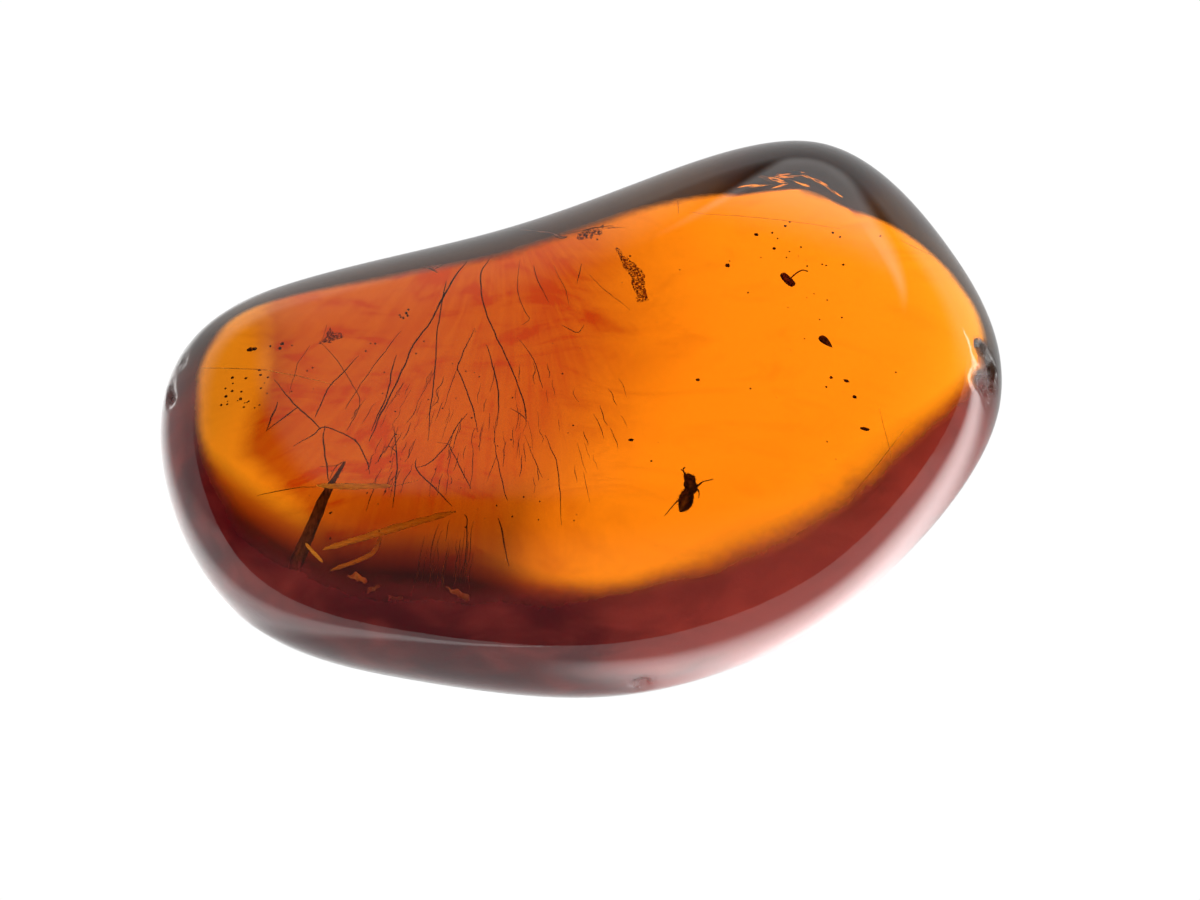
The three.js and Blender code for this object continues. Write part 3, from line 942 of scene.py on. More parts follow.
# %% Paths of the cracks
# Each entry: height, thickness, and the x, y points of one path, in millimetres.
CRACKS = [
    (7.0, 0.06, [(-6.88, 7.2), (-7.83, 5.81), (-8.41, 4.81), (-9.49, 2.79), (-10.38, 1.18), (-11.01, -0.8),
                 (-11.81, -2.99), (-12.16, -3.81), (-12.83, -5.82)]),
    (6.8, 0.05, [(-11.35, 0.66), (-11.56, -0.64), (-11.83, -2.38), (-12.28, -3.65), (-12.73, -4.99)]),
    (7.2, 0.045, [(-8.26, 5.7), (-8.42, 4.96), (-8.86, 2.39), (-8.93, -0.3), (-9.12, -2.95),
                  (-9.25, -5.94)]),
    (7.6, 0.028, [(-11.08, 2.25), (-11.79, 1.02), (-13.14, -1.26), (-14.12, -3.21), (-14.29, -3.66)]),
    (7.4, 0.028, [(-16.0, 1.63), (-14.83, -0.08), (-14.11, -1.46), (-13.45, -3.14),
                  (-13.96, -4.78), (-14.19, -5.23)]),
    (7.4, 0.045, [(-13.74, 0.36), (-14.44, -0.7), (-15.33, -1.9), (-15.95, -3.55), (-16.11, -4.15)]),
    (7.2, 0.035, [(-15.66, 2.77), (-15.82, 1.86)]),
    (7.2, 0.05, [(-18.71, -1.15), (-17.56, -2.84), (-16.22, -4.37), (-15.78, -4.97)]),
    (7.2, 0.06, [(-18.45, -2.81), (-18.59, -3.66), (-18.81, -4.74)]),
    (6.9, 0.055, [(-17.19, -3.1), (-17.87, -3.74), (-18.82, -4.71)]),
    (6.9, 0.025, [(-17.77, -2.11), (-17.41, -0.29), (-17.25, 0.32), (-16.55, 1.54)]),
    (7.4, 0.05, [(-5.52, 7.3), (-6.11, 6.08), (-6.05, 4.3), (-5.41, 2.2), (-4.58, 0.12), (-3.89, -1.86),
                 (-3.44, -3.52), (-3.32, -4.42)]),
    (7.1, 0.045, [(-6.58, 2.57), (-7.35, 0.34), (-7.58, -0.5), (-7.26, -1.41), (-6.61, -3.53),
                  (-6.28, -5.32)]),
    (7.1, 0.028, [(-7.58, -0.5), (-7.87, -1.56), (-8.38, -3.52)]),
    (7.2, 0.05, [(-5.82, 1.21), (-5.31, -0.86), (-5.04, -2.98), (-5.13, -4.93)]),
    (7.2, 0.025, [(-3.66, 7.21), (-3.9, 5.32), (-3.45, 3.67), (-3.2, 3.2), (-3.69, 2.74)]),
    (7.2, 0.035, [(-2.84, 7), (-2.66, 6.1), (-2.03, 4.45)]),
    (7.0, 0.022, [(-1.61, 7.13), (-0.98, 5.39), (-0.79, 4.37)]),
    (7.0, 0.032, [(0.06, 7.44), (-0.12, 6.73), (-0.3, 6.1)]),
    (7.0, 0.032, [(-3.8, 1.67), (-2.99, 0.36), (-2.55, -1.24), (-2.36, -2)]),
    (7.0, 0.03, [(-1.28, 2.82), (-0.73, 2.43), (-0.23, 2.19), (0.14, 2.81)]),
    (6.6, 0.022, [(0.5, 6.9), (1.43, 5.71), (2.98, 4.15)]),
    (7.0, 0.035, [(-4.36, -3.5), (-3.56, -4.1), (-3.32, -4.48)]),
    (7.2, 0.045, [(-17.35, -6.12), (-16.18, -5.33), (-15.72, -4.82), (-14.99, -4.98), (-13.56, -5.97),
                  (-12.91, -7.36), (-12.72, -8.3)]),
    (7.3, 0.055, [(-15.54, -4.72), (-15.56, -5.9), (-15.3, -7.79), (-15.08, -8.65)]),
    (7.1, 0.035, [(-15.07, -8.54), (-14.8, -7.77), (-14.29, -7.28)]),
    (7.0, 0.028, [(-15.75, -7.57), (-14.82, -7.57), (-14.29, -7.31)]),
    (7.4, 0.05, [(-11.34, -4.89), (-11.11, -6.89), (-11.12, -9.02), (-11.25, -10.39)]),
    (7.2, 0.035, [(-11.91, -6.43), (-11.48, -6.36), (-11.11, -6.81)]),
    (7.2, 0.04, [(-9.93, -7.92), (-9.15, -7.56), (-8.09, -6.24), (-7.51, -4.84), (-6.91, -3.94)]),
    (7.2, 0.045, [(-8.03, -6.17), (-7.21, -8.17), (-6.62, -9.43)]),
    (7.2, 0.045, [(-9.95, -7.26), (-9.93, -7.99), (-8.89, -9.28), (-7.74, -10.29)]),
    (7.2, 0.03, [(-8.7, -6.09), (-8.03, -6.17)]),
    (7.2, 0.032, [(-6.57, -6.33), (-6.49, -7.44), (-6.68, -9.48)]),
    (7.0, 0.035, [(-5.32, -4.77), (-5.04, -7.36), (-4.59, -9.51), (-4.37, -10.03)]),
    (7.0, 0.025, [(-5.05, -6.99), (-5.34, -7.73), (-5.63, -8.81)]),
    (6.8, 0.03, [(-3.43, -5.44), (-2.68, -7.65), (-2.32, -8.53)]),
    (6.8, 0.035, [(-2.21, -5.44), (-1.54, -7.29), (-1.28, -9.46), (-1.18, -11.26)]),
    (6.4, 0.055, [(-4.89, -10.63), (-4.66, -11.38), (-4.25, -13.27)]),
    (6.8, 0.045, [(-6.98, -10.62), (-6.77, -11.03), (-6.83, -12.88)]),
    (7.6, 0.028, [(-19.12, -9.21), (-17.99, -9.01), (-16.89, -8.95), (-15.79, -9.01)]),
]
# Fine streaks: the box they lie in (x, y from and to), their number, and the length from and to.
STREAKS = [
    ((-12.5, -6.5), (-8.25, -3.75), 34, (0.8, 2.2)),
    ((-9.8, -6.4), (-13.35, -10.55), 26, (1.2, 2.6)),
    ((-6.5, -2.0), (-6.75, 0.25), 26, (0.8, 2.4)),
    ((-14.0, -7.0), (-3.75, 0.25), 22, (0.7, 2.0)),
    ((-3.0, 2.5), (-8.75, -0.75), 18, (0.8, 2.2)),
]
STREAK_THICKNESS = 0.018
STREAK_DRIFT = 0.05
THIN_END = 0.45
CRACK_FINE = 0.85
# A dark crack that follows the skin over the back edge; its points have heights of their own.
EDGE_CRACKS = [
    (0, 0.09, [(-3.79, 9.9, 9.85), (-2.96, 9.3, 10.5), (-2.13, 8.85, 10.95), (-1.63, 8.45, 11.3)]),
    (0, 0.14, [(-1.8, 8.6, 11.2), (-1.25, 8.0, 11.55), (-0.95, 8.1, 11.5)]),
]
FAN_CENTRE = np.array([-4.0, 13.25])
draw = np.random.default_rng(11)


def streak_paths():
    """Short fine cracks that run away from the fan's centre."""
    paths = []
    for (x0, x1), (y0, y1), count, (shortest, longest) in STREAKS:
        for _ in range(count):
            start = np.array([draw.uniform(x0, x1), draw.uniform(y0, y1)])
            away = (start - FAN_CENTRE) / np.linalg.norm(start - FAN_CENTRE)
            step = away * draw.uniform(shortest, longest) / 3
            line = [start + step * k + draw.normal(0, STREAK_DRIFT, 2) for k in range(4)]
            paths.append((draw.uniform(6.2, 7.4), STREAK_THICKNESS * draw.uniform(0.6, 1.5), line))
    return paths


def net_of(paths):
    """Points, edges and thickness of all paths; each thins towards its ends."""
    points, edges, thick = [], [], []
    for height, thickness, line in paths:
        base = len(points)
        for k, spot in enumerate(line):
            points.append((*spot, height)[:3])
            thick.append(thickness * MM * (THIN_END if k in (0, len(line) - 1) else 1))
            if k:
                edges.append((base + k - 1, base + k))
    return points, edges, thick


crack_paths = [(height, thickness * CRACK_FINE, line) for height, thickness, line in CRACKS]
crack_paths += streak_paths() + EDGE_CRACKS
print("crack paths:", len(crack_paths))

# %% Threads from paths
crack_dark = Finish("crack_dark")
stain = crack_dark.cloud(crack_dark.place(), 2.6, 4)
crack_dark.set(
    Base_Color=crack_dark.blend(stain.between(0.35, 0.65), rgb(0.06, 0.018, 0.01), rgb(0.24, 0.06, 0.02)),
    Roughness=0.5 + 0.35 * stain,
    Transmission_Weight=0.4,
)
crack_dark.raise_by(stain, 0.5, 0.02)


def threads(name, paths, finish, waver):
    """Grow wavering threads along paths into one mesh."""
    points, edges, thick = net_of(paths)
    piece = base_piece(name, points, [], edges)
    piece.data.attributes.new("thick", "FLOAT", "POINT").data.foreach_set("value", thick)
    tree = GrowTree(name + "_tree", Step=0.16 * MM, Waver=waver * MM, Sides=5)
    curve = tree.node("GeometryNodeMeshToCurve", {}, {0: tree.base})
    smooth = tree.node("GeometryNodeCurveSplineType", {"spline_type": "CATMULL_ROM"}, {0: curve})
    even = tree.node(
        "GeometryNodeResampleCurve", {"mode": "LENGTH"},
        {"Curve": smooth, "Length": tree.size("Step")},
    )
    spot = tree.node("GeometryNodeInputPosition")
    drift = tree.node("ShaderNodeTexNoise", {}, {"Vector": spot, "Scale": 900.0, "Detail": 3.0}, output=1)
    centred = tree.node("ShaderNodeVectorMath", {"operation": "SUBTRACT"}, {0: drift, 1: (0.5, 0.5, 0.5)})
    offset = tree.node("ShaderNodeVectorMath", {"operation": "SCALE"}, {0: centred, 3: tree.size("Waver")})
    moved = tree.node("GeometryNodeSetPosition", {}, {"Geometry": even, "Offset": offset})
    ring = tree.node(
        "GeometryNodeCurvePrimitiveCircle", {},
        {"Resolution": tree.size("Sides"), "Radius": 1.0},
    )
    girth = tree.node("GeometryNodeInputNamedAttribute", {"data_type": "FLOAT"}, {"Name": "thick"})
    tube = tree.node(
        "GeometryNodeCurveToMesh", {},
        {"Curve": moved, "Profile Curve": ring, "Scale": girth, "Fill Caps": True},
    )
    tree.end(tube, finish)
    return tree.grow(piece)


CRACK_WAVER = 0.22
fan = threads("crack_fan", crack_paths, crack_dark, CRACK_WAVER)
seal_in(fan)
print("crack fan:", len(fan.data.polygons), "faces")

# %% Hairs
# Each entry is laid out as for the cracks.
HAIRS = [
    (8.6, 0.024, [(-23.2, -0.15), (-21.32, -0.56), (-19.68, -0.88), (-18.16, -1.29), (-16.92, -1.62),
                  (-15.06, -2.26)]),
    (8.5, 0.014, [(6.8, 11.04), (9.9, 10.88), (13.02, 10.51), (16.15, 9.99)]),
    (8.0, 0.014, [(19.46, 9.3), (20.13, 8.93), (20.89, 8.61), (21.6, 8.45)]),
    (8.0, 0.014, [(6.34, 12.27), (6.26, 11.63), (6.19, 11.03)]),
    (7.5, 0.016, [(17.6, -2.88), (17.81, -4.13), (18.08, -5.26), (18.3, -6.37)]),
    (7.5, 0.016, [(15.64, -9), (16.55, -7.71), (17.77, -5.96), (19.01, -4.07)]),
    (6.5, 0.02, [(9.36, -12.59), (9.54, -13.2), (9.81, -14.04)]),
    (7.4, 0.02, [(-11.27, -9.26), (-10.52, -9.11), (-9.71, -8.86)]),
    (9.4, 0.07, [(-9.75, 6.45), (-9.3, 6.2), (-8.85, 5.8)]),
    (9.4, 0.05, [(-8.3, 6.75), (-8.7, 6.4), (-9.1, 6.1)]),
]
HAIR_WAVER = 0.1
hair_pale = Finish("hair_pale")
bands = hair_pale.cloud(hair_pale.place(), 1.8, 3)
hair_pale.set(
    Base_Color=hair_pale.blend(bands.between(0.3, 0.7), rgb(0.6, 0.3, 0.1), rgb(0.95, 0.75, 0.45)),
    Roughness=0.7 + 0.3 * bands,
    Transmission_Weight=0.4,
    IOR=1.15,
)
hair_pale.raise_by(bands, 0.4, 0.01)
hairs = threads("hairs", HAIRS, hair_pale, HAIR_WAVER)
seal_in(hairs)
print("hairs:", len(hairs.data.polygons), "faces")

# %% [markdown]
# ## The brown-red veil
# An old flow layer of the resin holds dust so fine that it only shows as a brown-red veil over the left
# half, with a sharp left edge, a soft right edge and streaks that fan out from the back. A volume of dust
# would be slow to render, so the layer is one gently waved sheet that lets most light through.

# %% Veil
VEIL_INSET = 1.6
VEIL_HEIGHT = 4.6
VEIL_WAVE, VEIL_WAVE_SCALE = 0.5, 0.13
VEIL_ROWS = 30
VEIL_AROUND = 160
VEIL_TINT = rgb(0.27, 0.034, 0.006)


def veil_sheet():
    """A waved sheet across the inside of the amber."""
    edge = round_curve(OUTLINE, VEIL_AROUND)[:, :2]
    edge = edge + inward(edge) * VEIL_INSET
    level = np.full(VEIL_AROUND, VEIL_HEIGHT)
    rings = [np.c_[edge * share, level] for share in np.linspace(1, 0.02, VEIL_ROWS)]
    points = np.concatenate(rings + [np.array([[0.0, 0.0, VEIL_HEIGHT]])])
    for point in points:
        point[2] += VEIL_WAVE * noise.noise(Vector(point) * VEIL_WAVE_SCALE)
    i = np.arange(VEIL_AROUND)
    j = (i + 1) % VEIL_AROUND
    last = (VEIL_ROWS - 1) * VEIL_AROUND
    faces = strips(VEIL_ROWS, VEIL_AROUND)
    faces += np.c_[last + i, last + j, np.full(VEIL_AROUND, len(points) - 1)].tolist()
    return points, faces


veil_dust = Finish("veil_dust")
place = veil_dust.place()
x, y, _ = veil_dust.axes(place)
wisps = veil_dust.cloud(place, 0.16, 4, 0.6, 0.8)
left_edge = (x - (y * -0.7 - 3.3).most(0) + wisps * 2.5).between(-18.9, -17.3)
right_edge = (x + wisps * 5 - (y + 12.75).math("MINIMUM", y + 12.75, 14.0) * 0.5).between(-6.0, 5.0, 1, 0)
bearing = (x - float(FAN_CENTRE[0])).math("ARCTAN2", x - float(FAN_CENTRE[0]), float(FAN_CENTRE[1]) - y)
fan_place = veil_dust.node("ShaderNodeCombineXYZ", {}, {0: bearing * 26, 1: y * 0.16})
rays = veil_dust.cloud(fan_place, 1.0, 5, 0.65, 0.4)
swirl = veil_dust.cloud(veil_dust.place((0.6, 1.4, 1)), 0.22, 3, 0.6, 1.6)
streaks = 0.84 + 0.1 * rays.between(0.25, 0.8) + 0.06 * wisps.between(0.3, 0.7)
veil_share = left_edge * right_edge * streaks + 0.22 * swirl.between(0.45, 0.8)
veil_dust.set(
    Base_Color=veil_dust.blend(veil_share, rgb(1, 1, 1), VEIL_TINT),
    Roughness=0.1 + 0.2 * wisps,
    Transmission_Weight=1.0,
    IOR=1.0,
)
veil_dust.raise_by(rays, 0.3, 0.05)
veil = add_piece("veil_sheet", *veil_sheet(), veil_dust, "bark")
print("veil:", len(veil.data.polygons), "faces")

# %% [markdown]
# ## Painted shade under the shoulder
# All round, a sheet just under the skin paints the dark border in which the bright window ends: painted
# shade, smoky grey-brown along the back and dark maroon at the front left, and a painted red glow at the
# front right for light that crossed long paths through the resin. Reflections and those long paths make this
# border; at the front some real clouding of the resin is part of it. It is one sheet that follows the skin
# at a small depth up to a line that winds round the stone. A mark on its points fades it out there, and a
# cloud pattern breaks it up.

# %% Rim sheet of painted shade
# Each row: the skin's ring where the painted shade is half gone, the rings over which it fades, its depth
# and the ring where it starts, two rows for each control point of the outline.
RIM_TOP = [
    (42, 4, 0.6, 5), (47, 4, 0.6, 18), (59.5, 2.5, 1, 30), (70, 1.5, 3, 32),
    (70.5, 1.5, 3.6, 32), (66, 1.5, 3, 32), (60.5, 2.5, 1, 32), (59, 3, 0.6, 32),
    (60, 3, 0.6, 32), (57.5, 2.5, 0.6, 32), (56, 1.8, 0.6, 32), (55, 2, 0.6, 30),
    (54, 2.5, 0.6, 20), (51, 3, 0.6, 5), (50, 5, 0.6, 2.5), (48, 6, 0.6, 2.2),
    (48, 6, 0.6, 2.2), (50, 5, 0.6, 2.2), (51.5, 3.5, 0.6, 2.2), (52.2, 4, 0.6, 2.2),
    (51.4, 5.5, 0.6, 2.2), (50.3, 5.5, 0.6, 2.5), (51.4, 5, 0.6, 3), (50, 4, 0.6, 3.5),
]
RIM_ROWS = 28
RIM_LOW_FADE = 0.06


def rim_shade_sheet():
    """Points, faces and fade of the sheet of painted shade under the shoulder, all the way round."""
    skin = amber_rows()
    normals = np.cross(np.roll(skin, -1, 1) - np.roll(skin, 1, 1), np.gradient(skin, axis=0))
    normals /= np.linalg.norm(normals, axis=2)[..., None]
    columns = np.arange(AROUND // 2)
    top, soft, depth, start = round_curve(RIM_TOP, len(columns)).T
    deep = skin[:, ::2] - normals[:, ::2] * depth[None, :, None]
    rings, fades = [], []
    for share in np.linspace(0, 1, RIM_ROWS):
        row = start + (top + soft - start) * share
        below = row.astype(int)
        part = (row - below)[:, None]
        rings.append(deep[below, columns] * (1 - part) + deep[below + 1, columns] * part)
        fades.append(np.clip((top + soft - row) / (2 * soft), 0, 1) * min(share / RIM_LOW_FADE, 1))
    return np.concatenate(rings), strips(RIM_ROWS, len(columns)), np.concatenate(fades)


rim_dust = Finish("rim_dust")
x, y, z = rim_dust.axes(rim_dust.place())
cloudy = rim_dust.cloud(rim_dust.place((0.5, 1, 1)), 0.35, 3, 0.5, 0.6)
fine = rim_dust.cloud(rim_dust.place(), 2.6, 4, 0.65)
thin = rim_dust.node("ShaderNodeAttribute", {"attribute_name": "thin"}, output=2)
# Painted glow: a red share stands for light that crossed long paths through the resin, more to the right and
# lower down.
painted_glow_share = (x.between(-4, 10, 0.22, 0.72) + cloudy - 0.5).between(0, 1)
painted_glow_share = painted_glow_share * z.between(6, 10.5, 1.4, 0.55)
# Painted shade: dark maroon at the front left, blending into the painted red glow at the front right.
front_shade_and_glow = rim_dust.blend(painted_glow_share, rgb(0.075, 0.002, 0.008), rgb(0.36, 0.045, 0.045))
# Painted shade: smoky grey-brown towards the back.
back_shade_share = (y + cloudy * 2).between(-2, 4)
rim_dust.set(
    Base_Color=rim_dust.blend(back_shade_share, front_shade_and_glow, rgb(0.035, 0.02, 0.014)),
    Roughness=0.6 + 0.3 * fine,
    Specular_IOR_Level=0.0,
    Alpha=(thin * 1.5 + cloudy * 0.5 + fine * 0.3 - 0.4).between(0, 1, 0, 0.97),
)
rim_dust.raise_by(fine, 0.4, 0.05)
shade_sheet_points, shade_sheet_faces, shade_sheet_fade = rim_shade_sheet()
rim_shade_piece = add_piece("rim_dust", shade_sheet_points, shade_sheet_faces, rim_dust, "bark")
rim_shade_piece.data.attributes.new("thin", "FLOAT", "POINT").data.foreach_set("value", shade_sheet_fade)
print("rim sheet of painted shade:", len(shade_sheet_faces), "faces")

# %% [markdown]
# ## Dust and specks
# A loose group of dark specks lies at the left end, and single ones everywhere else. Geometry Nodes scatter
# them over a patch, give each its own size and turn, and join them into one mesh.

# %% Specks
# Each row: middle of the patch x, y, z, half sizes, specks per square millimetre, seed, smallest, largest.
PATCHES = [
    (-20.3, -1.85, 7.4, 1.3, 1.2, 4.0, 5, 0.03, 0.1),
    (-19.0, 1.45, 7.4, 1.0, 0.4, 3.0, 8, 0.06, 0.16),
    (-10.9, 3.45, 7.4, 0.3, 0.25, 24.0, 3, 0.05, 0.1),
    (-9.0, -4.75, 7.0, 9.0, 7.0, 0.35, 14, 0.02, 0.06),
    (10.0, 1.25, 6.2, 9.0, 9.0, 0.1, 21, 0.02, 0.07),
    (14.0, 9.45, 6.6, 3.0, 2.4, 0.5, 2, 0.03, 0.09),
]
SPECK_SCATTER = 0.8
SPECK_DENT = 1.6
FULL_TURN = 6.3


def specks(index, x, y, z, half_x, half_y, density, seed, smallest, largest):
    corners = [(x - half_x, y - half_y, z), (x + half_x, y - half_y, z), (x + half_x, y + half_y, z),
               (x - half_x, y + half_y, z)]
    tree = GrowTree(
        f"specks_{index}", Density=density / MM**2, Smallest=smallest * MM, Largest=largest * MM, Seed=seed,
    )
    spots = tree.node(
        "GeometryNodeDistributePointsOnFaces", {},
        {"Mesh": tree.base, "Density": tree.size("Density"), "Seed": tree.size("Seed")},
    )
    reach = SPECK_SCATTER * MM
    shift = tree.node(
        "FunctionNodeRandomValue", {"data_type": "FLOAT_VECTOR"},
        {0: (0, 0, -reach), 1: (0, 0, reach), "Seed": tree.size("Seed")},
    )
    moved = tree.node("GeometryNodeSetPosition", {}, {"Geometry": spots, "Offset": shift})
    ball = tree.node("GeometryNodeMeshIcoSphere", {}, {"Radius": 1.0, "Subdivisions": 2})
    spot = tree.node("GeometryNodeInputPosition")
    dents = tree.node("ShaderNodeTexNoise", {}, {"Vector": spot, "Scale": 1.3, "Detail": 2.0}, output=1)
    dent = tree.node("ShaderNodeVectorMath", {"operation": "SUBTRACT"}, {0: dents, 1: (0.5, 0.5, 0.5)})
    dent = tree.node("ShaderNodeVectorMath", {"operation": "SCALE"}, {0: dent, 3: SPECK_DENT})
    rough = tree.node("GeometryNodeSetPosition", {}, {"Geometry": ball, "Offset": dent})
    girth = tree.node(
        "FunctionNodeRandomValue", {"data_type": "FLOAT"},
        {2: tree.size("Smallest"), 3: tree.size("Largest"), "Seed": tree.size("Seed")}, output=1,
    )
    turn = tree.node(
        "FunctionNodeRandomValue", {"data_type": "FLOAT_VECTOR"},
        {0: (0, 0, 0), 1: (FULL_TURN,) * 3, "Seed": tree.size("Seed")},
    )
    placed = tree.node(
        "GeometryNodeInstanceOnPoints", {},
        {"Points": moved, "Instance": rough, "Scale": girth, "Rotation": turn},
    )
    tree.end(placed, grit_finish)
    piece = tree.grow(base_piece(f"specks_{index}", corners, [(0, 1, 2, 3)]))
    seal_in(piece)
    return len(piece.data.polygons)


print("speck faces:", [specks(index, *row) for index, row in enumerate(PATCHES)])

# %% [markdown]
# ## Red flakes in the dark front
# Under the front shoulder a few thin flakes of old resin catch the light and show red. They are plates like
# the bark flakes, but thin, pale and smooth.

# %% Resin flakes
# Each row: place x, y, z, half length, half width, turn and tip in degrees.
RESIN_FLAKES = [
    (-13.2, -14.05, 6.8, 0.5, 0.14, -25, 35),
    (-12.3, -14.85, 6.8, 0.35, 0.12, 30, 35),
    (-11.1, -15.65, 7.0, 0.45, 0.14, 12, 35),
    (-7.2, -15.35, 7.0, 0.8, 0.16, -28, 35),
    (-15.2, -15.05, 6.8, 0.6, 0.35, -20, 40),
]
FLAKE_CORNERS = 9
FLAKE_UNEVEN = 0.35
FLAKE_THINNED = 0.35
flake_red = Finish("resin_flake")
sheen = flake_red.cloud(flake_red.place(), 2.2, 3)
flake_red.set(
    Base_Color=flake_red.blend(sheen.between(0.3, 0.7), rgb(0.7, 0.25, 0.15), rgb(0.95, 0.6, 0.4)),
    Roughness=0.7 + 0.3 * sheen,
    Transmission_Weight=0.4,
    IOR=1.15,
)
flake_red.raise_by(sheen, 0.4, 0.03)
flake_parts = []
for x, y, z, length, width, turn, tip in RESIN_FLAKES:
    outline = []
    for angle in np.linspace(0, 2 * math.pi, FLAKE_CORNERS, endpoint=False):
        ragged = 1 + draw.uniform(-FLAKE_UNEVEN, FLAKE_UNEVEN)
        outline.append((length * ragged * math.cos(angle), width * ragged * math.sin(angle)))
    points, faces = plate(outline)
    points = points * (1, 1, FLAKE_THINNED)
    pose = Matrix.Rotation(math.radians(turn), 3, "Z") @ Matrix.Rotation(math.radians(tip), 3, "X")
    flake_parts.append((np.array([pose @ Vector(point) for point in points]) + (x, y, z), faces))
flakes = add_piece("resin_flakes", *join(flake_parts), flake_red, "bark")
print("resin flakes:", len(flake_parts))

# %% [markdown]
# ## Table and light
# The pebble lies on a white table that is lit from below through a window as large as its flat face, with a
# dark rim round the window, so its thick edges stay deep in tone. A lamp above reaches what is sealed in.
# Soft light comes from behind, with two faint patches that the polish mirrors: a haze over the left half and
# a glow at the back right corner. The table that the camera sees is plain white; the lit one above it only
# lights the stone.

# %% Lit table
def light_finish(name):
    finish = Finish(name)
    finish.tree.nodes.remove(finish.surface)
    return finish


def shine(finish, strength, tone=rgb(1, 1, 1)):
    glow = finish.node("ShaderNodeEmission", {}, {"Color": tone, "Strength": strength})
    finish.tree.links.new(glow.socket, finish.tree.nodes["Material Output"].inputs["Surface"])


def stage_sheet(name, flat, height, finish, ring=0):
    """A flat sheet for the stage; where rings of points are given, each further ring adds a strip."""
    mesh = bpy.data.meshes.new(name)
    points = np.c_[flat, np.full(len(flat), height)] * MM
    faces = [list(range(ring or len(flat)))]
    for start in range(0, len(flat) - ring, ring) if ring else ():
        for k in range(ring):
            after = (k + 1) % ring
            faces.append([start + k, start + ring + k, start + ring + after, start + after])
    mesh.from_pydata(points.tolist(), [], faces)
    mesh.materials.append(finish.material)
    sheet = bpy.data.objects.new(name, mesh)
    bpy.context.scene.collection.objects.link(sheet)
    return sheet


TABLE_HALF = 3000
TABLE_CORNERS = np.array([(-1, -1), (1, -1), (1, 1), (-1, 1)]) * TABLE_HALF
TABLE_WHITE = 1.02
FLOOR_LEVEL, LIT_LEVEL, RIM_LEVEL, WINDOW_LEVEL = -0.5, -0.4, -0.25, -0.15

white = light_finish("table_white")
shine(white, TABLE_WHITE)
floor = stage_sheet("floor", TABLE_CORNERS, FLOOR_LEVEL, white)
floor.visible_diffuse = False
floor.visible_glossy = False
floor.visible_transmission = False

# The lit table shines most close to the stone, at its front right and left ends.
TABLE_LIGHT, TABLE_BACK = 1.1, 0.6
RIGHT_SHINE, LEFT_SHINE = 4.4, 1.6
lit = light_finish("table_lit")
x, y, _ = lit.axes(lit.place())
lower_right = x * 0.6 - y * 0.8
right_patch = lower_right.between(18, 25) * lower_right.between(26, 40, 1, 0) * x.between(-6, 10)
left_patch = x.between(-25, -20, 1, 0) * x.between(-40, -30) * y.between(8, 20, 1, 0)
patches = right_patch * RIGHT_SHINE + left_patch * LEFT_SHINE
shine(lit, patches + y.between(-12, 6, TABLE_LIGHT, TABLE_BACK))
table = stage_sheet("lit_table", TABLE_CORNERS, LIT_LEVEL, lit)
table.visible_camera = False
print("table", 2 * TABLE_HALF, "mm wide")

# %% Light window and its dark rim
# Each row: x, y where the window's light is half gone, the run over which it fades inwards, and the reach of
# its red glow outwards, in millimetres.
WINDOW_EDGE = [
    (19.8, 3.1, 0.5, 1), (21.5, 7.02, 0.15, 0.3), (20.13, 9.89, 0.12, 0.3), (17.91, 12.76, 0.12, 0.3),
    (16.28, 16.09, 0.12, 0.3), (12.59, 17.22, 0.12, 0.3), (9.35, 15.81, 0.12, 0.3),
    (6.62, 14.83, 0.12, 0.3), (4.04, 13.54, 0.12, 0.3), (1.94, 12.54, 0.12, 0.3), (0.02, 11.63, 0.12, 0.3),
    (-1.86, 10.54, 0.12, 0.3), (-3.6, 9.87, 0.12, 0.3), (-5.47, 9.27, 0.12, 0.3), (-7.84, 8.58, 0.12, 0.3),
    (-11.45, 7.88, 0.12, 0.3), (-15.79, 6.57, 0.12, 0.3), (-20.27, 4.97, 0.12, 0.3),
    (-21.6, 1.81, 0.2, 0.4), (-20, -2.7, 0.6, 1.5), (-17.1, -6, 0.8, 4), (-13.9, -7.7, 0.8, 5),
    (-9.2, -8, 0.8, 5), (-6.6, -8.5, 0.7, 5), (-4.6, -9.1, 0.7, 5), (-2.8, -9.6, 0.7, 5),
    (-0.9, -9.8, 0.7, 5), (0.9, -10, 0.8, 5), (3.6, -9.7, 1, 5), (6.2, -8.9, 1.4, 5), (8.6, -8, 1.8, 5),
    (11.3, -7, 2, 5), (13.5, -5.8, 2, 4.5), (15.5, -3.6, 2, 3.5), (17.4, -0.7, 1.5, 2.5),
]
WINDOW_POINTS = 280
WINDOW_DIM, WINDOW_BRIGHT = 2.8, 3.8
WINDOW_GLOW = rgb(1, 0.3, 0.12)
GLOW_BOOST = 2.5
FAR_LEFT_DIM, FRONT_LEFT_DIM = 0.55, 0.5
FADE = [1.0, 0.45, 0.08, 0.03]
RIM_INSET = [0.5, -1, -1.5, -1.5, -1.5, -1, 0, 2, 2, 2, 2, 1.5]
RIM_DARK = 0.02


def window_rings():
    """The window's outline: where the fade begins, its middle, where the red glow begins and its end."""
    rows = round_curve(WINDOW_EDGE, WINDOW_POINTS)
    edge, soft, reach = rows[:, :2], rows[:, 2:3], rows[:, 3:]
    into = inward(edge)
    return [edge + into * soft, edge, edge - into * np.minimum(soft, reach * 0.6), edge - into * reach]


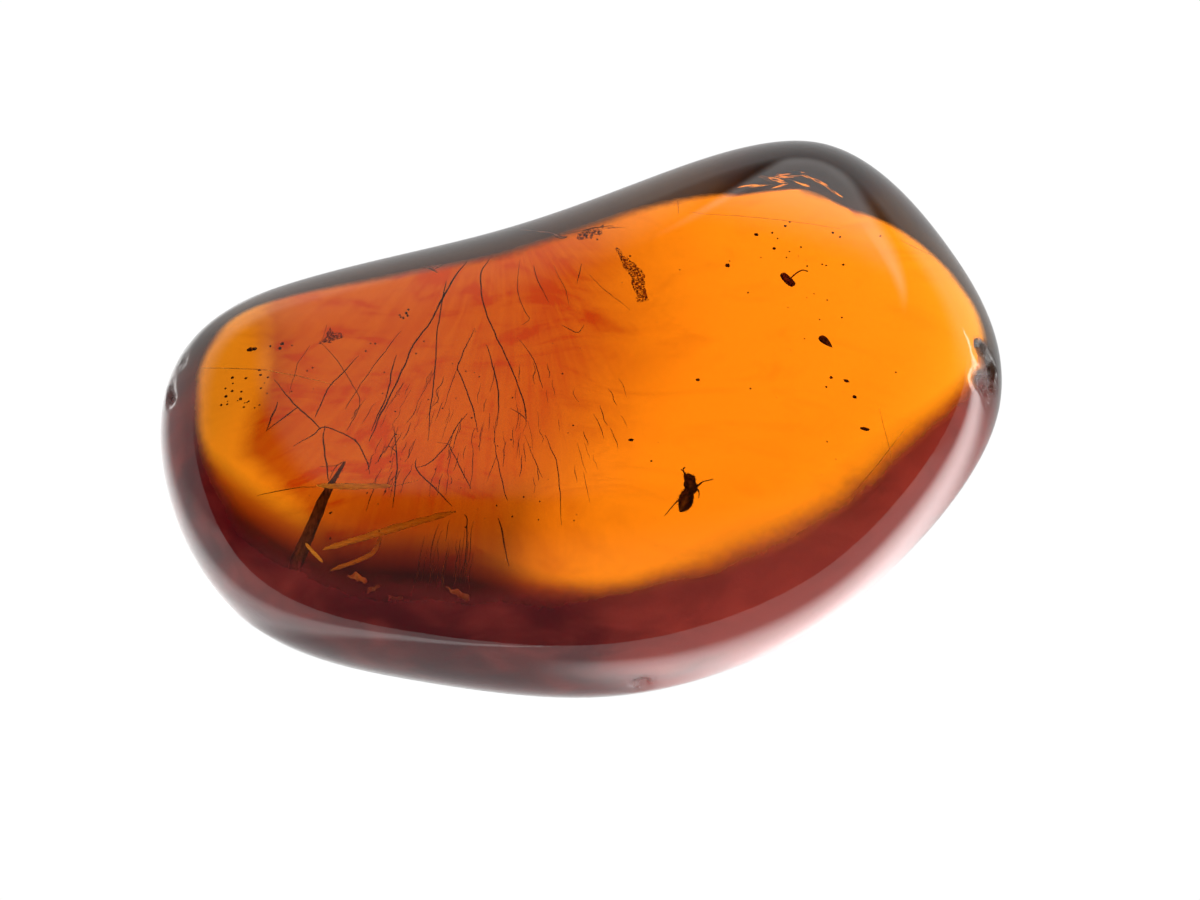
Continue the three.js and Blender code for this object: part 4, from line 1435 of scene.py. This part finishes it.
rim = light_finish("window_rim")
shine(rim, RIM_DARK)
rim_rows = round_curve(np.c_[OUTLINE[:, :2], RIM_INSET], WINDOW_POINTS)
rim_edge = rim_rows[:, :2] + inward(rim_rows[:, :2]) * rim_rows[:, 2:]
dark_sheet = stage_sheet("window_rim", rim_edge, RIM_LEVEL, rim)
dark_sheet.visible_camera = False
glass = light_finish("light_window")
x, y, _ = glass.axes(glass.place())
fade = glass.node("ShaderNodeAttribute", {"attribute_name": "fade"}, output=2)
tone = glass.blend(fade.between(0.1, 0.85), WINDOW_GLOW, rgb(1, 1, 1))
glow = x.between(-4, 8, 1, GLOW_BOOST) * fade.between(0.05, 0.4, 1, 0) + fade.between(0.05, 0.4)
far_left = x.between(-22, -16, FAR_LEFT_DIM, 1)
front_left = y.between(-8.5, -4.5, FRONT_LEFT_DIM, 1).most(x.between(-8, -1))
shine(glass, x.between(-30, 20, WINDOW_DIM, WINDOW_BRIGHT) * far_left * front_left * fade * glow, tone)
window = stage_sheet("light_window", np.concatenate(window_rings()), WINDOW_LEVEL, glass, WINDOW_POINTS)
fades = window.data.attributes.new("fade", "FLOAT", "POINT")
fades.data.foreach_set("value", np.repeat(FADE, WINDOW_POINTS))
window.visible_camera = False
print("light window set")

# %% Soft light from above
# It reaches what is sealed in the stone, but leaves no highlight on the polish.
TOP_HEIGHT = 200
TOP_HALF = 150
TOP_LIGHT = 6.0
lamp = light_finish("top_lamp")
shine(lamp, TOP_LIGHT)
top_lamp = stage_sheet("top_lamp", TABLE_CORNERS / TABLE_HALF * TOP_HALF, TOP_HEIGHT, lamp)
top_lamp.visible_camera = False
top_lamp.visible_glossy = False
print("top lamp", 2 * TOP_HALF, "mm wide")

# %% Soft light from behind
SKY_LOW = 0.62
CORNER_LIGHT = 1.7
SKY_REST = 0.02
FRONT_LIGHT = 0.14
HAZE_LIGHT = 0.42

world = bpy.data.worlds.new("studio")
bpy.context.scene.world = world
world.use_nodes = True
sky = Bench(world.node_tree)
across, behind, up = sky.axes(sky.node("ShaderNodeTexCoord", output=0))
back_light = up.between(0, 0.3, SKY_LOW, 0) * behind.between(0.2, 0.6)
haze = across.between(-0.16, 0.04, 1, 0) * across.between(-0.5, -0.2) * behind.between(0.2, 0.4)
haze = haze * up.between(0.1, 0.3) * up.between(0.84, 0.96, 1, 0)
front = behind.between(-0.5, 0.1, FRONT_LIGHT, 0)
corner = across.between(-0.02, 0.06) * across.between(0.33, 0.46, 1, 0) * behind.between(0.4, 0.6)
corner = corner * up.between(0.05, 0.3) * up.between(0.58, 0.68, 1, 0)
background = world.node_tree.nodes["Background"]
sky_light = back_light + front + SKY_REST + haze * HAZE_LIGHT + corner * CORNER_LIGHT
world.node_tree.links.new(sky_light.socket, background.inputs["Strength"])
background.inputs["Color"].default_value = rgb(1, 1, 1)
print("sky set")

# %% [markdown]
# Light crosses the skin, the crack leaves, the dust, the sheet of painted shade and the veil many times
# before it leaves the stone, so more bounces than usual are allowed.

scene = bpy.context.scene
scene.view_settings.view_transform = "Standard"
scene.cycles.max_bounces = 24
scene.cycles.transmission_bounces = 24
scene.cycles.glossy_bounces = 8
scene.cycles.transparent_max_bounces = 24
